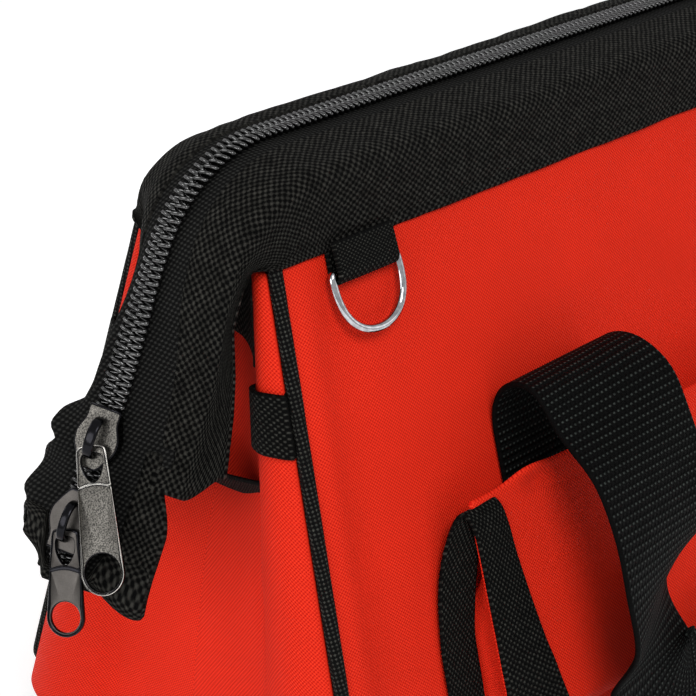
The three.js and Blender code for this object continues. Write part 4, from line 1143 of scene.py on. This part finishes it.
def pocketFace(x, t):
    # t runs 0 to 1 out along the foot, 1 to 2 round a soft corner and 2 to 3 up the face to the hem
    c = pocket
    inside = c["halfLength"] - np.abs(x)
    flat, turn, rise = np.clip(t, 0, 1), np.clip(t - 1, 0, 1) * np.pi / 2, np.clip(t - 2, 0, 1)
    hem = c["hem"] + c["hemRise"] * smooth(inside, 4, 34) + c["hemBump"] * bell(inside, 25, 8)
    hem = hem + c["hemLump"] * softNoise(x, 0 * t, 21, 31)
    up = c["foot"] + c["corner"] * (1 - np.cos(turn)) + (hem - c["foot"] - c["corner"]) * rise
    out = c["behind"] + (pocketDepth(x) - c["behind"] - c["corner"]) * flat + c["corner"] * np.sin(turn)
    below = hem - up
    slump = -c["slump"] * np.sin(np.pi * inside / c["halfLength"] / 2) * smooth(rise, 0.5, 1.0)
    slump = slump + c["lump"] * softNoise(x, up, 30, 32) * smooth(inside, 8, 30)
    puff = c["puff"] * bell(inside, c["foldIn"], 7) * bell(below, 0, 3)
    crease = c["crease"] * bell(inside - 0.4 * below, c["foldIn"], 5) * bell(below, 6, 3)
    seam = c["seamDepth"] * bell(below, c["seam"], 0.9) * smooth(inside, 20, 30)
    return onPanel(x, up, out + (slump + (puff - crease) - seam) * smooth(t, 1.5, 2.2)), up, out


def pocketGusset(t, share):
    # rows up, columns out from the panel to the face; the middle folds in towards the pocket
    c = pocket
    up = mix(c["foot"] + 0.8, c["gussetTop"] - c["gussetSlope"] * (1 - share), t)
    fold = c["pleat"] * np.sin(np.pi * share) * smooth(t, 0, 0.25)
    return onPanel(-c["halfLength"] + 0.9 + fold, up, c["behind"] + (c["endDepth"] - 1.4) * share)


def bindingGrid(t, w):
    # the tape between its two edges, each a listed line eased at its bends
    k = np.linspace(0, 1, 400)
    ease = np.ones(21) / 21
    edges = []
    for edge in (binding["left"], binding["right"]):
        line = [np.interp(k, binding["at"], value) for value in zip(*edge)]
        line = [np.convolve(np.pad(value, 10, mode="edge"), ease, "valid") for value in line]
        edges.append(np.stack([np.interp(t, k, value) for value in line], -1))
    place = mix(edges[0], edges[1], (w[..., None] + 1) / 2)
    crown = binding["crown"] * (1 - w ** 2) * smooth(t, 0.4, 0.5)
    crown = crown + binding["lump"] * softNoise(t * 120, w * 9, 7, 35)
    return onPanel(place[..., 0], place[..., 1], place[..., 2] + crown)


for sideName, side in sides:
    c = pocket
    x = np.linspace(-c["halfLength"], c["halfLength"], 190)[:, None]
    t = np.concatenate([np.linspace(0, 1, 8), np.linspace(1, 2, 10)[1:], np.linspace(2, 3, 74)[1:]])[None]
    face, up, out = pocketFace(x, t)
    parts = Parts()
    shell(parts, turned(face, -1, side), c["half"], x, up + out, (0, side, 0.3))
    for end in (-1, 1):
        rows, share = np.linspace(0, 1, 50)[:, None], np.linspace(0, 1, 20)[None]
        gusset = turned(pocketGusset(rows, share), end, side)
        shell(parts, gusset, c["gussetHalf"], rows * 80, share * 12, (end, 0, 0))
    name = f"{sideName}_pocket"
    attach(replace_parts(parts.make(name, redOxford), name), f"{sideName}_side")
    for endName, end in ends:
        t, w = np.linspace(0, 1, 170)[:, None], np.linspace(-1, 1, 15)[None]
        grid = bindingGrid(t + 0 * w, w + 0 * t)
        parts = Parts()
        run = lengths(grid[:, 7], 0)[:, None]
        shell(parts, turned(grid, end, side), binding["half"], run, w * 8, (-end, side, 0.3))
        name = f"{sideName}_pocket_binding_{endName}"
        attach(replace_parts(parts.make(name, bindingTape), name), f"{sideName}_side")
print("pockets made")


# handles: webbing sewn to the panel, folded over in a round crest, then a loop that hangs and twists to its
# grip. turns are the strap's changes of heading, in degrees from straight up towards out, each between two
# lengths; rolls are its twists, each in degrees, with its middle and width; the fold and the loop part at
# split, just past the crest's second hinge, and for each two places on the panel's frame are worked out,
# which nothing uses
handle = {
    "fromMiddle": 99.7, "width": 50.5, "half": 0.9, "rootFoot": 60, "rootOut": 2.6, "legRun": 207,
    "corner": 20, "turns": ((152, 58, 109.5), (17, 119.5, 137), (38.5, 137, 176), (-27.5, 178, 214)),
    "split": 99, "rolls": ((11, 108, 15), (-27, 188, 22), (6, 212, 12)), "gripNarrower": 10, "ripple": 0.35,
    "cup": 0.5, "foldBlend": (139.0, (11.0, 27.0)), "loopBlend": ((133.0, 115.0), 30.0),
}
handleRun = handle["legRun"] + handle["corner"] * np.pi / 2 + handle["fromMiddle"] - handle["corner"]


def handleLine():
    # the leg from the root's foot: its place is the sum of small steps along its heading
    c = handle
    run = np.arange(0, c["legRun"] + 0.5, 0.5)
    heading = np.radians(sum(turn * smooth(run, start, stop) for turn, start, stop in c["turns"]))
    steps = np.stack([np.cos(heading), np.sin(heading)], -1) * 0.5
    place = np.array([c["rootFoot"], c["rootOut"]]) + np.cumsum(steps, 0) - steps[0]
    return run, place


legRuns, legPlaces = handleLine()


def handlePath(run):
    # up the panel, over the crest and down the leg, then a quarter turn in the leg's own plane, and along
    # the grip
    c = handle
    up = np.interp(run, legRuns, legPlaces[:, 0])
    out = np.interp(run, legRuns, legPlaces[:, 1])
    bend = np.clip((run - c["legRun"]) / c["corner"], 0, np.pi / 2)
    along = np.maximum(run - c["legRun"] - c["corner"] * np.pi / 2, 0)
    x = -c["fromMiddle"] + c["corner"] * (1 - np.cos(bend)) + along
    return np.stack([x, up - c["corner"] * np.sin(bend), out], -1)


def handleGrid(run, w):
    # the strap's width lies along the bag, rolls a little past the crest and far the other way at the leg's
    # waist, and follows the turn into the grip
    c = handle
    place = handlePath(run)
    ahead = unit(handlePath(np.minimum(run + 0.3, handleRun)) - handlePath(run - 0.3))
    bend = np.clip((run - c["legRun"]) / c["corner"], 0, np.pi / 2)
    across = np.stack([np.cos(bend), np.sin(bend), 0 * bend], -1)
    across = unit(across - ahead * (across * ahead).sum(-1, keepdims=True))
    facing = np.cross(ahead, across)
    roll = np.radians(sum(turn * bell(run, middle, width) for turn, middle, width in c["rolls"]))[..., None]
    across = across * np.cos(roll) + facing * np.sin(roll)
    width = c["width"] - c["gripNarrower"] * smooth(run, c["legRun"], c["legRun"] + 40)
    waves = c["ripple"] * softNoise(run, w * 25, 14, 41) + c["cup"] * (1 - w ** 2) * bell(run, 190, 25)
    local = place + across * (w * width / 2)[..., None] + facing * (waves * smooth(run, 75, 95))[..., None]
    return onPanel(local[..., 0], local[..., 1], local[..., 2])


for sideName, side in sides:
    c = handle
    w = np.linspace(-1, 1, 19)[None]
    for endName, end in ends:
        run = np.linspace(0, c["split"] - 0.05, 100)
        run = np.concatenate([run, [c["split"], c["split"] + 0.5]])[:, None]
        grid = handleGrid(run + 0 * w, w + 0 * run)
        parts = Parts()
        shell(parts, turned(grid, end, side), c["half"], run, w * c["width"] / 2, (0, side, 0.3), trim=(0, 1))
        piece = parts.make(f"{sideName}_handle_fold_{endName}", ribWebbing)
        root, crest = (f"{sideName}_handle_{part}_{endName}" for part in ("root", "crest"))
        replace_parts(piece, root, crest)
        up, outs = c["foldBlend"]
        bend = [metres(turned(onPanel(-c["fromMiddle"], up, out), end, side)) for out in outs]
        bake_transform(piece)
    run = np.linspace(c["split"], handleRun, 230)[1:]
    run = np.concatenate([c["split"] + np.array([-0.5, 0, 0.05]), run])[:, None]
    half = handleGrid(run + 0 * w, w + 0 * run)
    whole = np.concatenate([half, (half * [-1, 1, 1])[::-1][1:]])
    along = np.concatenate([run, 2 * handleRun - run[::-1][1:]])
    parts = Parts()
    shell(parts, turned(whole, -1, side), c["half"], along, w * c["width"] / 2, (0, side, 0.3), trim=(1, 1))
    piece = parts.make(f"{sideName}_handle", ribWebbing)
    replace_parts(piece, f"{sideName}_handle")
    ups, out = c["loopBlend"]
    bend = [metres(turned(onPanel(0, up, out), -1, side)) for up in ups]
    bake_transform(piece)
print("handles made")


# D-rings: chromed wire in a tab of webbing folded round its straight bar
dRing = {
    "wire": 1.4, "halfWidth": 14.0, "depth": 20.2, "swell": 0.12, "belowBand": 8.9, "out": 3.4, "hang": 2.0,
    "fromMiddle": 168,
}
ringTab = {"half": 0.8, "width": 25, "around": 2.7, "rise": 9.4, "front": 0.42, "behind": 0.72, "length": 40}
ringUp = panelHeight - dRing["belowBand"]


def ringPath(count):
    # a straight bar, rounded corners and a half-round bow that swells a little, as one closed line
    c = dRing
    turn = np.linspace(0, np.pi, count)
    bowHalf = c["halfWidth"] * np.cos(turn) * (1 + c["swell"] * np.sin(turn))
    bow = np.stack([bowHalf, -c["depth"] * np.sin(turn) ** 0.8], -1)
    straight = np.linspace(-c["halfWidth"], c["halfWidth"], count // 3)[1:-1]
    line = np.concatenate([bow, np.stack([straight, 0 * straight], -1)])
    for _ in range(3):
        line = (np.roll(line, 1, 0) + 2 * line + np.roll(line, -1, 0)) / 4
    out = c["out"] - c["hang"] * line[:, 1] / c["depth"]
    return onPanel(line[:, 0] - c["fromMiddle"], line[:, 1] + ringUp, out)


def ringTabGrid(t, w):
    # down in front of the bar, round it and up behind: a long loop in the plane square to the bar
    c, r = ringTab, ringTab["around"]
    turn = np.clip((t - c["front"]) / (c["behind"] - c["front"]), 0, 1) * np.pi
    front, behind = np.clip(1 - t / c["front"], 0, 1), np.clip((t - c["behind"]) / (1 - c["behind"]), 0, 1)
    up = ringUp - r * np.sin(turn) + c["rise"] * (front + behind)
    out = dRing["out"] + r * np.cos(turn) - 0.6 * front + 0.15 * behind
    out = np.maximum(out, 1.9)
    return onPanel(-dRing["fromMiddle"] + w * c["width"] / 2, up, out + 0.3 * np.cos(w * 1.4) - 0.2)


for sideName, side in sides:
    for endName, end in ends:
        parts = Parts()
        bar(parts, turned(ringPath(96), end, side), dRing["wire"], 14, (0, side, -0.3), closed=True)
        name = f"{sideName}_ring_{endName}"
        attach(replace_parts(parts.make(name, brightChrome), name), name)
        parts = Parts()
        t, w = np.linspace(0, 1, 60)[:, None], np.linspace(-1, 1, 21)[None]
        grid = ringTabGrid(t + 0 * w, w + 0 * t)
        run, wide = t * ringTab["length"], w * ringTab["width"] / 2
        shell(parts, turned(grid, end, side), ringTab["half"], run, wide, (0, side, 0.3))
        name = f"{sideName}_ring_tab_{endName}"
        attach(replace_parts(parts.make(name, bindingTape), name), f"{sideName}_side")
print("rings made")


# base: a coated tub round the bag's foot, and the board in it
boot = {
    "halfLength": 217, "halfWidth": 89, "shoulder": 15.9, "rim": 1.5, "wall": 3, "floor": 3, "corner": 14,
    "sharpest": 0.8, "edge": 4,
}


def bootGrid(turn, inset, height):
    # each pair of a distance in from the outside and a height is carried round a rectangle with round
    # corners
    c = boot
    radius = np.maximum(c["corner"] - inset, c["sharpest"])
    cornerX, cornerY = c["halfLength"] - c["corner"], c["halfWidth"] - c["corner"]
    shrink = np.maximum(inset - c["corner"] + c["sharpest"], 0)
    x = np.sign(np.cos(turn)) * (cornerX - shrink) + radius * np.cos(turn)
    y = np.sign(np.sin(turn)) * (cornerY - shrink) + radius * np.sin(turn)
    return point(x, y, height)


def makeBoot():
    c = boot
    arc = np.linspace(0, np.pi / 2, 9)
    # from under the floor round the lower edge, up the wall, over its rim and down to the floor's upper
    # face
    under, over = c["edge"] * (1 - np.sin(arc)), c["rim"] * (1 - np.cos(arc * 2))
    inset = np.concatenate([[60, 20, 8], under, [0, 0], over, [c["wall"]] * 2, [5, 9, 60]])
    under, over = c["edge"] * (1 - np.cos(arc)), c["shoulder"] + c["rim"] * np.sin(arc * 2)
    height = np.concatenate([[0, 0, 0], under, [8, c["shoulder"]], over, [9, 4], [c["floor"]] * 3])
    quarter = np.linspace(0.02, np.pi / 2 - 0.02, 10)
    turn = np.concatenate([quarter + k * np.pi / 2 for k in range(4)])
    grid = bootGrid(turn[None], inset[:, None], height[:, None])
    parts = Parts()
    rows, columns = grid.shape[:2]
    index = np.arange(rows * columns).reshape(rows, columns)
    closed = np.concatenate([index, index[:, :1]], 1)
    points = np.concatenate([grid.reshape(-1, 3), [[0, 0, 0.0], [0, 0, c["floor"]]]])
    climb = np.cumsum(np.hypot(np.diff(inset, prepend=inset[0]), np.diff(height, prepend=0)))
    uv = np.stack(np.broadcast_arrays(lengths(grid[8], 0)[None], climb[:, None]), -1)
    uv = np.concatenate([uv.reshape(-1, 2), [[0, 0], [0, 80]]])
    lids = [closeEnd(index[0], rows * columns)[:, ::-1], closeEnd(index[-1], rows * columns + 1)]
    parts.add(points, uv, gridQuads(closed), *lids)
    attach(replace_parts(parts.make("base_boot", coatedCloth), "base_boot"), "bag")


makeBoot()
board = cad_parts["base_board"]
board.data.materials.clear()
board.data.materials.append(boardPlastic)
print("base made")


# light and floor: each lamp's name, place, aim, size and power
studio = {
    "skyLevel": 0.3, "skyInGloss": 0.45, "floorGlow": 0.5, "floorRadius": 1500.0, "floorHeight": -0.2,
    "lamps": (
        ("key", (-0.7, -1.1, 1.5), (0, 0, 0.15), 0.8, 16),
        ("fill", (1.4, -1.2, 0.9), (0, 0, 0.1), 1.2, 3.5),
        ("left", (-1.7, -0.2, 0.7), (-0.1, 0, 0.1), 0.9, 8),
        ("back", (-0.9, 1.2, 1.3), (0, 0, 0.15), 0.8, 6),
    ),
}


def eitherRay(tree, *kinds):  # 1 where the ray is of one of two kinds, and the outputs for every kind
    rays = addNode(tree, "LightPath").outputs
    return addNode(tree, "Math", {0: rays[kinds[0]], 1: rays[kinds[1]]}, operation="MAXIMUM"), rays


def makeStudio():
    scene = bpy.context.scene
    scene.view_settings.view_transform = "Standard"
    world = bpy.data.worlds.new("studio")
    world.use_nodes = True
    tree = world.node_tree
    tree.nodes.clear()
    seen, rays = eitherRay(tree, "Is Camera Ray", "Is Transmission Ray")
    mirrored = {0: rays["Is Glossy Ray"], 1: studio["skyInGloss"]}
    mirrored = addNode(tree, "Math", mirrored, operation="MULTIPLY")
    seen = addNode(tree, "Math", {0: seen, 1: mirrored}, operation="MAXIMUM")
    level = addNode(tree, "MapRange", {0: seen, 3: studio["skyLevel"]})
    sky = addNode(tree, "Background", {"Color": (1.0, 1.0, 1.0, 1.0), "Strength": level})
    tree.links.new(sky.outputs[0], addNode(tree, "OutputWorld").inputs[0])
    scene.world = world

    for name, place, aim, size, power in studio["lamps"]:
        data = bpy.data.lights.new(name, "AREA")
        data.shape, data.size, data.energy = "DISK", size, power
        lamp = bpy.data.objects.new(name, data)
        lamp.location = place
        lamp.rotation_euler = (Vector(aim) - Vector(place)).to_track_quat("-Z", "Y").to_euler()
        scene.collection.objects.link(lamp)

    parts = Parts()
    a = np.linspace(0, 2 * np.pi, 96, endpoint=False)[None]
    r = np.array([studio["floorRadius"], 1.0])[:, None]
    grid = point(r * np.cos(a), r * np.sin(a), studio["floorHeight"])
    rows, turns = grid.shape[:2]
    index = np.arange(rows * turns).reshape(rows, turns)
    index = np.concatenate([index, index[:, :1]], 1)
    parts.add(grid, np.zeros((rows * turns, 2)), gridQuads(index))
    material, tree, surface = newMaterial("pale studio floor")
    surface.inputs["Base Color"].default_value = colour("#F4F4F4")
    surface.inputs["Roughness"].default_value = 0.9
    seen, _ = eitherRay(tree, "Is Camera Ray", "Is Glossy Ray")
    glow = addNode(tree, "Math", {0: seen, 1: studio["floorGlow"]}, operation="MULTIPLY")
    tree.links.new(glow.outputs[0], surface.inputs["Emission Strength"])
    surface.inputs["Emission Color"].default_value = colour("#FFFFFF")
    parts.make("floor", material)


makeStudio()
print("studio made")
